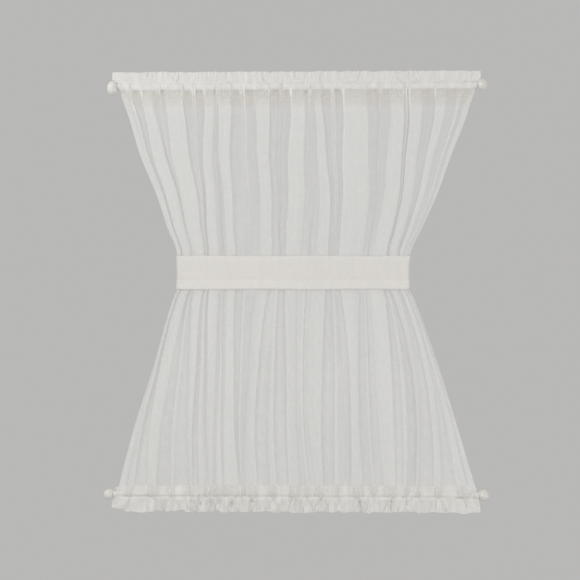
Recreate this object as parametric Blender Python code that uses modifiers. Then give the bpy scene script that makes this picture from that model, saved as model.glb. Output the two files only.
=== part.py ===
"""Sheer door curtain: one gathered voile panel on two sash rods, drawn in by a flat tie band.

The panel is a single cut of cloth. Each end is turned over its rod into a pocket, with a
standing header above the upper rod and a ruffle below the lower one. Between the rods the
cloth hangs in flat pleats of three layers that draw together under the band.
Metres, +Z up, the front faces -Y, and the brackets' backs lie in the plane Y = 0.
"""

import math
from dataclasses import dataclass

import bmesh
import bpy
from mathutils import Vector

# Rods, and how far their axes stand off the brackets' backs
ROD_RADIUS = 0.00635
ROD_Y = -0.028
FIT_GAP = 0.0003
ROD_SIDES = 24

# Cloth of the panel
CLOTH = 0.0010
HALF_CLOTH = CLOTH / 2
HEADER_HEIGHT = 0.0315
HEADER_LEFT = -0.4145
HEADER_RIGHT = 0.410
UPPER_POCKET_DROP = 0.025
UPPER_HEM_DROP = 0.0405
RUFFLE_HEIGHT = 0.0405
RUFFLE_LEFT = -0.4165
RUFFLE_RIGHT = 0.4105
LOWER_POCKET_RISE = 0.0175
STITCH_OFF_AXIS = 0.0092
BELLY_OFF_AXIS = 0.0020
POCKET_CLEAR = 0.0020

# Pleats, and how far the front and the back of a pocket stand from the plane of the rods
POCKET_DEPTH = 0.0021
SEAM_OFFSET = 0.0032
BELLY_OFFSET = 0.0105
FOLD_DEPTH = 0.0026
FOLD_OFFSET = 0.0042
FOLD_NEST = 0.56
HEM_OFFSET = 0.0040
BODY_SHARE = 0.75
TURN_SHARE = 0.3
EDGE_SHARE = 0.2
GAP_STEP = 0.0220
GAP_MARGIN = 0.0012

# How far the pockets, header and ruffle wave to the front and back, and the ruffle's edge up and down
SHIRR = 0.0005
SHIRR_FADE = 0.020
SHIRR_LEAST = 0.12
HEADER_WAVE = 0.0012
RUFFLE_WAVE = 0.0050
RUFFLE_DIP = 0.0032
RUFFLE_REST = 0.4
FLAT_END_X = 0.345
FLAT_END_SHARE = 0.2

# Tie band
BAND_TOP = -0.3815
BAND_BOTTOM = -0.4558
BAND_CLOTH = 0.0015
BAND_CLEAR = 0.0005
BAND_SLACK = 0.0006
BAND_PUCKER = 0.0004
BAND_LAP_FROM = 0.020
BAND_LAP_TO = 0.056
BAND_CORNER_STEPS = 3
BAND_FRONT_STEPS = 20
BAND_BACK_STEPS = 8
BAND_ROWS = 3
WAIST_LEVEL = 2

# Finials and the brackets that carry the rods
FINIAL_INSERT = 0.0020
FINIAL_SEGMENTS = 20
FINIAL_RINGS = 11
BRACKET_STEEL = 0.0015
BRACKET_CLEAR = 0.0005
BRACKET_WALL = 0.0030
PLATE_WIDTH = 0.014
PLATE_HEIGHT = 0.024
PLATE_STEEL = 0.0020
SCREW_RADIUS = 0.00185
SCREW_SPACING = 0.0150
SCREW_SIDES = 12
PLATE_BEVEL = 0.0006
ARM_BACK_TOP = 0.0060
ARM_FRONT_TOP = 0.0015
CRADLE_BACK_TOP = 0.0030
CRADLE_STEPS = 10
NOSE_STEPS = 3

IVORY = (0.815, 0.805, 0.765)
WHITE_PAINT = (0.840, 0.835, 0.800)


@dataclass(frozen=True)
class Finial:
    """A knob on a rod's end: its centre, half width, half height and drop under the rod."""

    x: float
    half_width: float
    half_height: float
    drop: float


@dataclass(frozen=True)
class Rod:
    """A rod by the heights of its two ends, with the knob on each."""

    name: str
    left_z: float
    right_z: float
    left: Finial
    right: Finial

    def height(self, x: float) -> float:
        """Height of the axis at x."""
        share = (x - self.left.x) / (self.right.x - self.left.x)
        return self.left_z + share * (self.right_z - self.left_z)


@dataclass(frozen=True)
class Side:
    """Where the two side edges of the panel lie at one height."""

    z: float
    left: float
    right: float


@dataclass(frozen=True)
class Level:
    """A height at which the pleats are measured, with the pleats' depth there."""

    z: float
    depth: float


@dataclass(frozen=True)
class Wave:
    """One wave of several that run together: its share of the whole, its length and its start."""

    share: float
    length: float
    start: float

    def at(self, x: float) -> float:
        """The wave's height at x."""
        return self.share * math.sin(2 * math.pi * x / self.length + self.start)


@dataclass(frozen=True)
class Pleat:
    """A pleat by its centre and width, in millimetres, at each level."""

    faces_front: bool
    high: tuple
    upper: tuple
    waist: tuple
    lower: tuple
    low: tuple
    foot: tuple

    def marks(self) -> tuple:
        """The pleat's readings from the top level to the bottom one."""
        return (self.high, self.upper, self.waist, self.lower, self.low, self.foot)


UPPER_ROD = Rod(
    "upper", -0.0022, 0.0022,
    Finial(x=-0.4136, half_width=0.0133, half_height=0.0165, drop=0.0040),
    Finial(x=0.4130, half_width=0.0122, half_height=0.0122, drop=0.0),
)
LOWER_ROD = Rod(
    "lower", -0.9150, -0.9177,
    Finial(x=-0.4222, half_width=0.0120, half_height=0.0120, drop=0.0008),
    Finial(x=0.4165, half_width=0.0120, half_height=0.0120, drop=0.0005),
)

SIDES = (
    Side(z=-0.025, left=-0.3935, right=0.3935),
    Side(z=-0.044, left=-0.3865, right=0.3865),
    Side(z=-0.072, left=-0.377, right=0.378),
    Side(z=-0.157, left=-0.352, right=0.344),
    Side(z=-0.241, left=-0.317, right=0.314),
    Side(z=-0.319, left=-0.291, right=0.279),
    Side(z=-0.379, left=-0.2695, right=0.2525),
    Side(z=-0.418, left=-0.2685, right=0.2490),
    Side(z=-0.457, left=-0.2695, right=0.2505),
    Side(z=-0.474, left=-0.2770, right=0.2590),
    Side(z=-0.640, left=-0.326, right=0.319),
    Side(z=-0.778, left=-0.369, right=0.362),
    Side(z=-0.858, left=-0.390, right=0.386),
    Side(z=-0.880, left=-0.396, right=0.394),
)

LEVELS = (
    Level(z=-0.072, depth=0.0036),
    Level(z=-0.234, depth=0.0042),
    Level(z=-0.418, depth=0.0030),
    Level(z=-0.642, depth=0.0042),
    Level(z=-0.778, depth=0.0042),
    Level(z=-0.858, depth=0.0034),
)

PLEATS = (
    Pleat(True, high=(-360, 6), upper=(-307, 5),
          waist=(-263, 3), lower=(-320, 4), low=(-352, 11), foot=(-368, 11)),
    Pleat(False, high=(-328, 22), upper=(-284, 27),
          waist=(-249, 14), lower=(-299, 25), low=(-317, 24), foot=(-326, 20)),
    Pleat(True, high=(-272, 38), upper=(-245, 36),
          waist=(-226, 20), lower=(-236, 16), low=(-239, 10), foot=(-242, 9)),
    Pleat(False, high=(-198, 20), upper=(-195, 20),
          waist=(-191, 22), lower=(-193, 20), low=(-195, 11), foot=(-195, 11)),
    Pleat(True, high=(-162, 27), upper=(-156, 20),
          waist=(-152, 18), lower=(-153, 16), low=(-151, 29), foot=(-151, 27)),
    Pleat(True, high=(-77, 29), upper=(-71, 25),
          waist=(-75, 31), lower=(-100, 16), low=(-106, 27), foot=(-105, 22)),
    Pleat(False, high=(1, 31), upper=(-2, 36),
          waist=(-12, 29), lower=(-15, 18), low=(-12, 26), foot=(-10, 20)),
    Pleat(True, high=(50, 16), upper=(61, 22),
          waist=(55, 27), lower=(38, 34), low=(41, 24), foot=(46, 20)),
    Pleat(False, high=(131, 54), upper=(131, 58),
          waist=(122, 49), lower=(127, 16), low=(129, 25), foot=(133, 20)),
    Pleat(True, high=(224, 29), upper=(212, 31),
          waist=(184, 28), lower=(193, 36), low=(199, 34), foot=(205, 27)),
    Pleat(False, high=(265, 27), upper=(247, 22),
          waist=(213, 15), lower=(265, 9), low=(265, 6), foot=(272, 6)),
    Pleat(False, high=(317, 20), upper=(280, 12),
          waist=(231, 6), lower=(294, 11), low=(305, 16), foot=(315, 13)),
    Pleat(True, high=(353, 6), upper=(302, 4),
          waist=(242, 3), lower=(311, 4), low=(341, 18), foot=(361, 16)),
)


SHIRR_WAVES = (
    Wave(share=0.60, length=0.047, start=0.0),
    Wave(share=0.40, length=0.034, start=0.7),
)

RUFFLE_WAVES = (
    Wave(share=0.55, length=0.046, start=0.3),
    Wave(share=0.25, length=0.028, start=1.0),
    Wave(share=0.20, length=0.071, start=2.4),
)


def blend(rows: tuple, z: float) -> tuple:
    """The two table rows around a height, and the share of the second."""
    for first, second in zip(rows, rows[1:]):
        if z >= second.z:
            return first, second, min(1.0, max(0.0, (first.z - z) / (first.z - second.z)))
    return rows[-2], rows[-1], 1.0


def mix(first: float, second: float, share: float) -> float:
    """A value that share of the way from first to second."""
    return first + share * (second - first)


def edges(z: float) -> tuple:
    """The x of the panel's left and right edges at a height."""
    above, below, share = blend(SIDES, z)
    return mix(above.left, below.left, share), mix(above.right, below.right, share)


def pleat_at(pleat: Pleat, z: float) -> tuple:
    """Centre and width of a pleat at a height, kept in step with the side edges."""
    above, below, share = blend(LEVELS, z)
    marks = pleat.marks()
    readings = []
    for level in (above, below):
        centre, width = marks[LEVELS.index(level)]
        left, right = edges(level.z)
        readings.append(((centre / 1000 - left) / (right - left), width / 1000))
    left, right = edges(z)
    centre = left + mix(readings[0][0], readings[1][0], share) * (right - left)
    return centre, mix(readings[0][1], readings[1][1], share)


def pleat_depth(z: float) -> float:
    """How far the outer layers of a pleat stand from the middle one at a height."""
    above, below, share = blend(LEVELS, z)
    return mix(above.depth, below.depth, share)


def gap_counts() -> list:
    """How many points lie in each single-layer stretch, from the left edge to the right edge."""
    top = LEVELS[0].z
    left, right = edges(top)
    centres = [pleat_at(pleat, top)[0] for pleat in PLEATS]
    starts = [left] + centres
    ends = centres + [right]
    return [max(2, round((end - start) / GAP_STEP)) for start, end in zip(starts, ends)]


def section(z: float) -> list:
    """The panel's middle line at a height, as (x, share of the pleats' depth) from left to right."""
    left, right = edges(z)
    pleats = []
    for pleat in PLEATS:
        centre, width = pleat_at(pleat, z)
        side = -1.0 if pleat.faces_front else 1.0
        offsets = (width / 2, width / 2, -width / 2, -width / 2)
        steps = (1.0, TURN_SHARE, -TURN_SHARE, -1.0)
        pleats.append([(centre + x, side * y) for x, y in zip(offsets, steps)])
    first = (left, pleats[0][0][1] * EDGE_SHARE)
    last = (right, pleats[-1][-1][1] * EDGE_SHARE)
    starts = [first] + [(pleat[0][0], pleat[-1][1]) for pleat in pleats]
    ends = [(pleat[-1][0], pleat[0][1]) for pleat in pleats] + [last]
    points = [first]
    for index, count in enumerate(gap_counts()):
        points.extend(gap_points(starts[index], ends[index], count))
        points.extend(pleats[index] if index < len(pleats) else [last])
    return points


def gap_points(start: tuple, end: tuple, count: int) -> list:
    """The points of a single layer between two pleats, eased from the level of one to that of the other."""
    points = []
    for step in range(count):
        share = step / (count - 1)
        ease = share * share * (3 - 2 * share)
        x = mix(start[0] + GAP_MARGIN, end[0] - GAP_MARGIN, share)
        points.append((x, mix(start[1], end[1], ease)))
    return points


def shirr_wave(x: float) -> float:
    """The slow, uneven wave of a gathered pocket along its length, from -1 to 1, fading at both ends."""
    fade = min(1.0, max(SHIRR_LEAST, (FLAT_END_X - abs(x)) / SHIRR_FADE + 1.0))
    return fade * sum(wave.at(x) for wave in SHIRR_WAVES)


def ruffle_wave(x: float) -> float:
    """The ruffle's wave along its length, from -1 to 1, nearly flat at the right end."""
    return sum(wave.at(x) for wave in RUFFLE_WAVES) * (FLAT_END_SHARE if x > FLAT_END_X else 1.0)


def place(x: float, y: float, z: float) -> Vector:
    """A point of the panel, with y measured from the plane through both rods."""
    return Vector((x, ROD_Y + y, z))


@dataclass(frozen=True)
class Layer:
    """The front (-1) or the back (1) of a pocket, whose pleats nest about the plane of the rods."""

    side: float
    offset: float
    depth: float = POCKET_DEPTH

    def y(self, step: float) -> float:
        """The distance from the rods' plane of a point with the given share of the pleats' depth."""
        return self.side * (self.offset - step * self.depth)


FRONT_SEAM = Layer(-1.0, SEAM_OFFSET)
BACK_SEAM = Layer(1.0, SEAM_OFFSET)
FRONT_FOLD = Layer(-1.0, FOLD_OFFSET, FOLD_DEPTH)
BACK_FOLD = Layer(1.0, FOLD_OFFSET, FOLD_DEPTH)


def stretched(steps: list, ends: tuple) -> list:
    """A section's points spread between other ends."""
    left, right = steps[0][0], steps[-1][0]
    return [(mix(ends[0], ends[1], (x - left) / (right - left)), step) for x, step in steps]


def pocket_row(steps: list, rod: Rod, ends: tuple, rise: float, layer: Layer) -> list:
    """A row along a pocket at a height over its rod."""
    row = []
    for x, step in stretched(steps, ends):
        row.append(place(x, layer.y(step) + SHIRR * shirr_wave(x), rod.height(x) + rise))
    return row


def belly_row(steps: list, rod: Rod, ends: tuple, rise: float, side: float) -> list:
    """A row over the rod's front or back, where the waves only swell away from the rod."""
    layer = Layer(side, BELLY_OFFSET)
    row = []
    for x, step in stretched(steps, ends):
        swell = side * SHIRR * (1 + shirr_wave(x)) * 0.5
        row.append(place(x, layer.y(step) + swell, rod.height(x) + rise))
    return row


def nest_shares() -> list:
    """For each point of a section, 1 in and beside a pleat, and 0 within a single-layer stretch."""
    shares = [0.0]
    for index, count in enumerate(gap_counts()):
        shares.extend([1.0] + [0.0] * (count - 2) + [1.0])
        shares.extend([1.0] * 4 if index < len(PLEATS) else [0.0])
    return shares


def fold_row(steps: list, rod: Rod, ends: tuple, rise: float, layer: Layer) -> list:
    """A row along the outer fold of the header or ruffle, a pleat's inner layers turning nearer the rod."""
    ruffle = rise < 0
    outward = -1.0 if ruffle else 1.0
    wave = RUFFLE_WAVE if ruffle else HEADER_WAVE
    dip = RUFFLE_DIP if ruffle else 0.0
    row = []
    for (x, step), share in zip(stretched(steps, ends), nest_shares()):
        sway = ruffle_wave(x) if ruffle else shirr_wave(x)
        inset = FOLD_NEST * share * (layer.offset + layer.depth - abs(layer.y(step)))
        z = rod.height(x) + rise - outward * (inset - dip * (sway - RUFFLE_REST))
        row.append(place(x, layer.y(step) + wave * sway, z))
    return row


def pocket_ends(rod: Rod) -> tuple:
    """The x of a pocket's two ends, clear of the brackets beside them."""
    left, right = bracket_x(rod)
    return left + BRACKET_STEEL / 2 + POCKET_CLEAR, right - BRACKET_STEEL / 2 - POCKET_CLEAR


def upper_rows() -> list:
    """The rows of the upper end, from the hem behind the rod over the header to the front."""
    steps = section(SIDES[0].z)
    ends = pocket_ends(UPPER_ROD)
    header = (HEADER_LEFT, HEADER_RIGHT)
    seam = edges(-UPPER_POCKET_DROP)
    return [
        pocket_row(steps, UPPER_ROD, edges(-UPPER_HEM_DROP), -UPPER_HEM_DROP, Layer(1.0, HEM_OFFSET)),
        pocket_row(steps, UPPER_ROD, seam, -UPPER_POCKET_DROP, BACK_SEAM),
        belly_row(steps, UPPER_ROD, ends, BELLY_OFF_AXIS, 1.0),
        pocket_row(steps, UPPER_ROD, ends, STITCH_OFF_AXIS, BACK_SEAM),
        fold_row(steps, UPPER_ROD, header, HEADER_HEIGHT, BACK_FOLD),
        fold_row(steps, UPPER_ROD, header, HEADER_HEIGHT, FRONT_FOLD),
        pocket_row(steps, UPPER_ROD, ends, STITCH_OFF_AXIS, FRONT_SEAM),
        belly_row(steps, UPPER_ROD, ends, BELLY_OFF_AXIS, -1.0),
        pocket_row(steps, UPPER_ROD, seam, -UPPER_POCKET_DROP, FRONT_SEAM),
    ]


def body_rows() -> list:
    """The rows between the pockets, each a section through the pleats."""
    rows = []
    for side in SIDES[1:]:
        near_pocket = side in (SIDES[1], SIDES[-1])
        depth = POCKET_DEPTH if near_pocket else pleat_depth(side.z)
        offset = -SEAM_OFFSET * BODY_SHARE if near_pocket else 0.0
        rows.append([place(x, offset + step * depth, side.z) for x, step in section(side.z)])
    return rows


def lower_rows() -> list:
    """The rows of the lower end, from the front of the pocket round the ruffle to the hem behind."""
    steps = section(SIDES[-1].z)
    ends = pocket_ends(LOWER_ROD)
    ruffle = (RUFFLE_LEFT, RUFFLE_RIGHT)
    return [
        pocket_row(steps, LOWER_ROD, ends, LOWER_POCKET_RISE, FRONT_SEAM),
        belly_row(steps, LOWER_ROD, ends, -BELLY_OFF_AXIS, -1.0),
        pocket_row(steps, LOWER_ROD, ends, -STITCH_OFF_AXIS, FRONT_SEAM),
        fold_row(steps, LOWER_ROD, ruffle, -RUFFLE_HEIGHT, FRONT_FOLD),
        fold_row(steps, LOWER_ROD, ruffle, -RUFFLE_HEIGHT, BACK_FOLD),
        pocket_row(steps, LOWER_ROD, ends, -STITCH_OFF_AXIS, BACK_SEAM),
        belly_row(steps, LOWER_ROD, ends, -BELLY_OFF_AXIS, 1.0),
        pocket_row(steps, LOWER_ROD, ends, LOWER_POCKET_RISE, BACK_SEAM),
    ]


def panel_rows() -> list:
    """Every row of the panel's cloth, in the order in which the one cut of cloth runs."""
    return upper_rows() + body_rows() + lower_rows()


def clear_scene() -> None:
    """Removes every object of the scene."""
    for item in list(bpy.data.objects):
        bpy.data.objects.remove(item, do_unlink=True)


def make_collection(name: str) -> bpy.types.Collection:
    """A collection under the scene's own."""
    found = bpy.data.collections.new(name)
    bpy.context.scene.collection.children.link(found)
    return found


def make_material(name: str, colour: tuple, roughness: float) -> bpy.types.Material:
    """A plain Principled material."""
    material = bpy.data.materials.new(name)
    material.use_nodes = True
    shader = material.node_tree.nodes["Principled BSDF"]
    shader.inputs["Base Color"].default_value = (*colour, 1.0)
    shader.inputs["Roughness"].default_value = roughness
    shader.inputs["Metallic"].default_value = 0.0
    return material


def add_object(name: str, data: bpy.types.ID, collection: bpy.types.Collection) -> bpy.types.Object:
    """Links a new object for a mesh or curve."""
    item = bpy.data.objects.new(name, data)
    collection.objects.link(item)
    return item


def cloth_sheet(
    name: str, rows: list, thickness: float, collection: bpy.types.Collection
) -> bpy.types.Object:
    """A sheet of cloth: a grid laid along the given rows, then given its thickness."""
    columns = len(rows[0])
    shape = bmesh.new()
    bmesh.ops.create_grid(shape, x_segments=columns - 1, y_segments=len(rows) - 1, size=1.0)
    shape.verts.ensure_lookup_table()
    for index, vertex in enumerate(shape.verts):
        vertex.co = rows[index // columns][index % columns]
    for face in shape.faces:
        face.smooth = True
    mesh = bpy.data.meshes.new(name)
    shape.to_mesh(mesh)
    shape.free()
    sheet = add_object(name, mesh, collection)
    split = sheet.modifiers.new("triangles", "TRIANGULATE")
    split.quad_method = "BEAUTY"
    solidify = sheet.modifiers.new("thickness", "SOLIDIFY")
    solidify.thickness = thickness
    solidify.offset = 0.0
    solidify.use_quality_normals = True
    return sheet


def band_half_widths(z: float) -> tuple:
    """The x of the band's two folded sides at a height, just outside the panel's edges."""
    left, right = edges(z)
    reach = HALF_CLOTH + BAND_CLEAR + BAND_CLOTH / 2 + BAND_SLACK
    return left - reach, right + reach


def band_section(z: float) -> list:
    """The band's middle line at a height: a flat loop round the panel, lapped at its back."""
    left, right = band_half_widths(z)
    depth = LEVELS[WAIST_LEVEL].depth + HALF_CLOTH + BAND_CLEAR + BAND_CLOTH / 2
    lapped = depth + BAND_CLOTH + FIT_GAP + BAND_SLACK / 6
    corner = math.pi / (2 * BAND_CORNER_STEPS)
    points = []
    for step in range(BAND_BACK_STEPS):
        points.append((mix(BAND_LAP_FROM, right - depth, step / BAND_BACK_STEPS), depth))
    for step in range(2 * BAND_CORNER_STEPS + 1):
        angle = math.pi / 2 - corner * step
        points.append((right - depth + depth * math.cos(angle), depth * math.sin(angle)))
    for step in range(1, BAND_FRONT_STEPS):
        share = step / BAND_FRONT_STEPS
        swell = BAND_PUCKER * (1 + math.sin(BAND_FRONT_STEPS * share))
        points.append((mix(right - depth, left + depth, share), -depth - swell))
    for step in range(2 * BAND_CORNER_STEPS + 1):
        angle = -math.pi / 2 - corner * step
        points.append((left + depth + depth * math.cos(angle), depth * math.sin(angle)))
    for step in range(1, BAND_BACK_STEPS):
        points.append((mix(left + depth, -BAND_LAP_FROM, step / BAND_BACK_STEPS), depth))
    points.extend([(-BAND_LAP_FROM, depth), (0.0, lapped), (BAND_LAP_FROM, lapped), (BAND_LAP_TO, lapped)])
    return points


def build_band(collection: bpy.types.Collection) -> bpy.types.Object:
    """The flat tie band round the waist."""
    rows = []
    for row in range(BAND_ROWS + 1):
        z = mix(BAND_TOP, BAND_BOTTOM, row / BAND_ROWS)
        rows.append([place(x, y, z) for x, y in band_section(z)])
    return cloth_sheet("tie_band", rows, BAND_CLOTH, collection)


def rod_ends(rod: Rod) -> tuple:
    """The x of a rod's two ends, inside its finials."""
    return rod.left.x + FINIAL_INSERT, rod.right.x - FINIAL_INSERT


def lay_along_rod(item: bpy.types.Object, rod: Rod, x: float) -> None:
    """Puts an object whose length is its own Z on the rod's axis at x."""
    ends = rod_ends(rod)
    tilt = math.atan2(rod.height(ends[1]) - rod.height(ends[0]), ends[1] - ends[0])
    item.location = (x, ROD_Y, rod.height(x))
    item.rotation_euler = (0.0, math.pi / 2 - tilt, 0.0)


def cylinder_mesh(name: str, radius: float, length: float, sides: int) -> bpy.types.Mesh:
    """A capped cylinder along Z."""
    shape = bmesh.new()
    bmesh.ops.create_cone(
        shape, cap_ends=True, segments=sides, radius1=radius, radius2=radius, depth=length
    )
    mesh = bpy.data.meshes.new(name)
    shape.to_mesh(mesh)
    shape.free()
    mesh.shade_smooth()
    mesh.set_sharp_from_angle(angle=math.radians(40))
    return mesh


def build_rod(rod: Rod, collection: bpy.types.Collection) -> bpy.types.Object:
    """A plain round rod between its finials."""
    start, end = rod_ends(rod)
    name = f"rod_{rod.name}"
    item = add_object(name, cylinder_mesh(name, ROD_RADIUS, end - start, ROD_SIDES), collection)
    lay_along_rod(item, rod, (start + end) / 2)
    return item


def build_finial(
    rod: Rod, side: str, collection: bpy.types.Collection, cutters: bpy.types.Collection
) -> bpy.types.Object:
    """A knob with a blind socket that the rod's end goes into."""
    finial = rod.left if side == "left" else rod.right
    inward = 1.0 if side == "left" else -1.0
    shape = bmesh.new()
    bmesh.ops.create_uvsphere(shape, u_segments=FINIAL_SEGMENTS, v_segments=FINIAL_RINGS, radius=1.0)
    for vertex in shape.verts:
        vertex.co = (
            vertex.co.x * finial.half_width,
            vertex.co.y * finial.half_width,
            vertex.co.z * finial.half_height,
        )
    name = f"finial_{rod.name}_{side}"
    mesh = bpy.data.meshes.new(name)
    shape.to_mesh(mesh)
    shape.free()
    mesh.shade_smooth()
    item = add_object(name, mesh, collection)
    item.location = (finial.x, ROD_Y, rod.height(finial.x) - finial.drop)
    start = finial.x + inward * (FINIAL_INSERT - FIT_GAP)
    length = finial.half_width
    bore = cylinder_mesh(name, ROD_RADIUS + FIT_GAP, length, ROD_SIDES)
    cutter = add_object(f"{name}_socket", bore, cutters)
    lay_along_rod(cutter, rod, start + inward * length / 2)
    hide_cutter(cutter)
    cut(item, cutter, "DIFFERENCE")
    return item


def hide_cutter(cutter: bpy.types.Object) -> None:
    """Keeps a cutter out of the render."""
    cutter.hide_render = True
    cutter.display_type = "WIRE"


def cut(item: bpy.types.Object, cutter: bpy.types.Object, operation: str) -> None:
    """Adds a Boolean of the given kind."""
    modifier = item.modifiers.new(cutter.name, "BOOLEAN")
    modifier.operation = operation
    modifier.object = cutter


def bracket_x(rod: Rod) -> tuple:
    """The x of the two bracket arms, just inside the finials."""
    reach = BRACKET_CLEAR + BRACKET_STEEL / 2
    return rod.left.x + knob_reach(rod.left) + reach, rod.right.x - knob_reach(rod.right) - reach


def knob_reach(finial: Finial) -> float:
    """How far a knob reaches along its rod where a bracket's cradle comes nearest to it."""
    nearest = ROD_RADIUS + FIT_GAP - finial.drop
    return finial.half_width * math.sqrt(1 - (nearest / finial.half_height) ** 2)


def arm_outline() -> list:
    """The side view of a bracket arm as (y, z) about the rod's axis, with the cradle open at its top."""
    cradle = ROD_RADIUS + FIT_GAP
    front = -cradle - BRACKET_WALL
    back = -ROD_Y - PLATE_STEEL / 2
    points = [(-cradle, ARM_FRONT_TOP), (front, ARM_FRONT_TOP)]
    for step in range(NOSE_STEPS + 1):
        angle = math.pi + math.pi / 2 * step / NOSE_STEPS
        points.append((-front * math.cos(angle), -front * math.sin(angle)))
    points.extend([(back, front), (back, ARM_BACK_TOP), (cradle + BRACKET_WALL, CRADLE_BACK_TOP)])
    points.append((cradle, CRADLE_BACK_TOP))
    for step in range(1, CRADLE_STEPS):
        angle = -math.pi * step / CRADLE_STEPS
        points.append((cradle * math.cos(angle), cradle * math.sin(angle)))
    return points


def outline_solid(
    name: str, outline: list, thickness: float, collection: bpy.types.Collection
) -> bpy.types.Object:
    """A flat plate from a closed outline, as a filled 2D curve made a welded mesh."""
    curve = bpy.data.curves.new(name, "CURVE")
    curve.dimensions = "2D"
    curve.fill_mode = "BOTH"
    curve.extrude = thickness / 2
    spline = curve.splines.new("POLY")
    spline.points.add(len(outline) - 1)
    for point, (u, v) in zip(spline.points, outline):
        point.co = (u, v, 0.0, 1.0)
    spline.use_cyclic_u = True
    drawn = add_object(f"{name}_curve", curve, collection)
    bpy.context.view_layer.update()
    evaluated = drawn.evaluated_get(bpy.context.evaluated_depsgraph_get())
    mesh = bpy.data.meshes.new_from_object(evaluated)
    bpy.data.objects.remove(drawn, do_unlink=True)
    shape = bmesh.new()
    shape.from_mesh(mesh)
    bmesh.ops.remove_doubles(shape, verts=shape.verts, dist=0.00001)
    bmesh.ops.recalc_face_normals(shape, faces=shape.faces)
    shape.to_mesh(mesh)
    shape.free()
    return add_object(name, mesh, collection)


def build_bracket(
    rod: Rod, side: str, collection: bpy.types.Collection, cutters: bpy.types.Collection
) -> bpy.types.Object:
    """A stamped bracket: a plate with two screw holes, and an arm with a cradle."""
    name = f"bracket_{rod.name}_{side}"
    inward = 1.0 if side == "left" else -1.0
    x = bracket_x(rod)[0 if side == "left" else 1]
    z = rod.height(x)
    arm = outline_solid(f"{name}_arm", arm_outline(), BRACKET_STEEL, cutters)
    arm.rotation_euler = (math.pi / 2, 0.0, math.pi / 2)
    arm.location = (x, ROD_Y, z)
    hide_cutter(arm)
    shape = bmesh.new()
    bmesh.ops.create_cube(shape, size=1.0)
    bmesh.ops.scale(shape, vec=(PLATE_WIDTH, PLATE_STEEL, PLATE_HEIGHT), verts=shape.verts)
    mesh = bpy.data.meshes.new(name)
    shape.to_mesh(mesh)
    shape.free()
    plate = add_object(name, mesh, collection)
    plate_x = x + inward * (PLATE_WIDTH - BRACKET_STEEL) / 2
    plate.location = (plate_x, -PLATE_STEEL / 2, z)
    corners = plate.modifiers.new("corners", "BEVEL")
    corners.width = PLATE_BEVEL
    corners.segments = 1
    cut(plate, arm, "UNION")
    for sign in (-1, 1):
        drill = cylinder_mesh(name, SCREW_RADIUS, 4 * PLATE_STEEL, SCREW_SIDES)
        hole = add_object(f"{name}_screw", drill, cutters)
        hole.rotation_euler = (math.pi / 2, 0.0, 0.0)
        hole.location = (plate_x, -PLATE_STEEL / 2, z + sign * SCREW_SPACING / 2)
        hide_cutter(hole)
        cut(plate, hole, "DIFFERENCE")
    return plate


def main() -> None:
    """Builds the whole curtain."""
    clear_scene()
    parts = make_collection("sheer_door_curtain")
    cutters = make_collection("cutters")
    voile = make_material("ivory_voile", IVORY, 0.9)
    paint = make_material("white_paint", WHITE_PAINT, 0.35)
    for item in (cloth_sheet("panel", panel_rows(), CLOTH, parts), build_band(parts)):
        item.data.materials.append(voile)
    for rod in (UPPER_ROD, LOWER_ROD):
        build_rod(rod, parts).data.materials.append(paint)
        for side in ("left", "right"):
            build_finial(rod, side, parts, cutters).data.materials.append(paint)
            build_bracket(rod, side, parts, cutters).data.materials.append(paint)


main()
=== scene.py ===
"""Sheer door curtain: an ivory voile panel gathered on two sash rods and drawn in by a tie band.

The voile is one thin sheet laid on the folds of its solid, with the finer gathers, the turned
hems and the stitching that the solid leaves out. Metres, +Z up, the front faces -Y.
"""

import logging
import math
from dataclasses import dataclass, field
from enum import Enum, IntEnum

import bmesh
import bpy
import numpy as np
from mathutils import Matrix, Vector


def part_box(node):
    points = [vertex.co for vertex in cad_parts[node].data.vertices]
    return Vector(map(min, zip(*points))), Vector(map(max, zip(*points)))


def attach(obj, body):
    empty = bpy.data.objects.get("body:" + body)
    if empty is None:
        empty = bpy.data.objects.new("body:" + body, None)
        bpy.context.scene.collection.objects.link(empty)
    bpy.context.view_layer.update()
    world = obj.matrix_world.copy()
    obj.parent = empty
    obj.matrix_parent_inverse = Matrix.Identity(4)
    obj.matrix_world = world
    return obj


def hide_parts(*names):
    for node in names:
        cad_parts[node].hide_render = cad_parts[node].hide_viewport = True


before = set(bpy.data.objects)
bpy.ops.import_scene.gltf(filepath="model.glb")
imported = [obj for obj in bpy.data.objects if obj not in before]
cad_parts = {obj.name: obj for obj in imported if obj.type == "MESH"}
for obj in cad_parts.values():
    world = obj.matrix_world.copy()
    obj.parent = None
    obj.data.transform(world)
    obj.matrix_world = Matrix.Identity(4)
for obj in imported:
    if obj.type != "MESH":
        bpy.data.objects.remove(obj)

log = logging.getLogger("sheer_door_curtain")

BODY = "root"
ROD_PLANE_Y = -0.028
FLAT_WIDTH = 1.50


# ---------------------------------------------------------------- tables


class Faces(Enum):
    """Which side of the cloth the outer layer of a fold lies on."""

    FRONT = -1.0
    BACK = 1.0


class Level(IntEnum):
    """The heights that the folds were read at, from the top down."""

    HIGH = 0
    UPPER = 1
    NECK = 2
    WAIST = 3
    HIP = 4
    LOWER = 5
    LOW = 6
    FOOT = 7


@dataclass(frozen=True)
class Fold:
    """A flat fold of three layers, with its centre and width in millimetres at each level.

    A width under zero is a fold that has opened into a soft wave there.
    """

    faces: Faces
    relief: float
    marks: tuple


LEVEL_Z = (-0.072, -0.234, -0.357, -0.418, -0.474, -0.642, -0.778, -0.858)
LEVEL_DEPTH = (0.0036, 0.0042, 0.0036, 0.0026, 0.0036, 0.0042, 0.0042, 0.0034)
# How much each level's readings count for the lines over and under the band.
OVER_TRUST, UNDER_TRUST = (3, 3, 1, 3), (3, 1, 2, 2, 2)
# The control points that the section takes to turn one fold over and back.
FOLD_POINTS = 9

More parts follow.
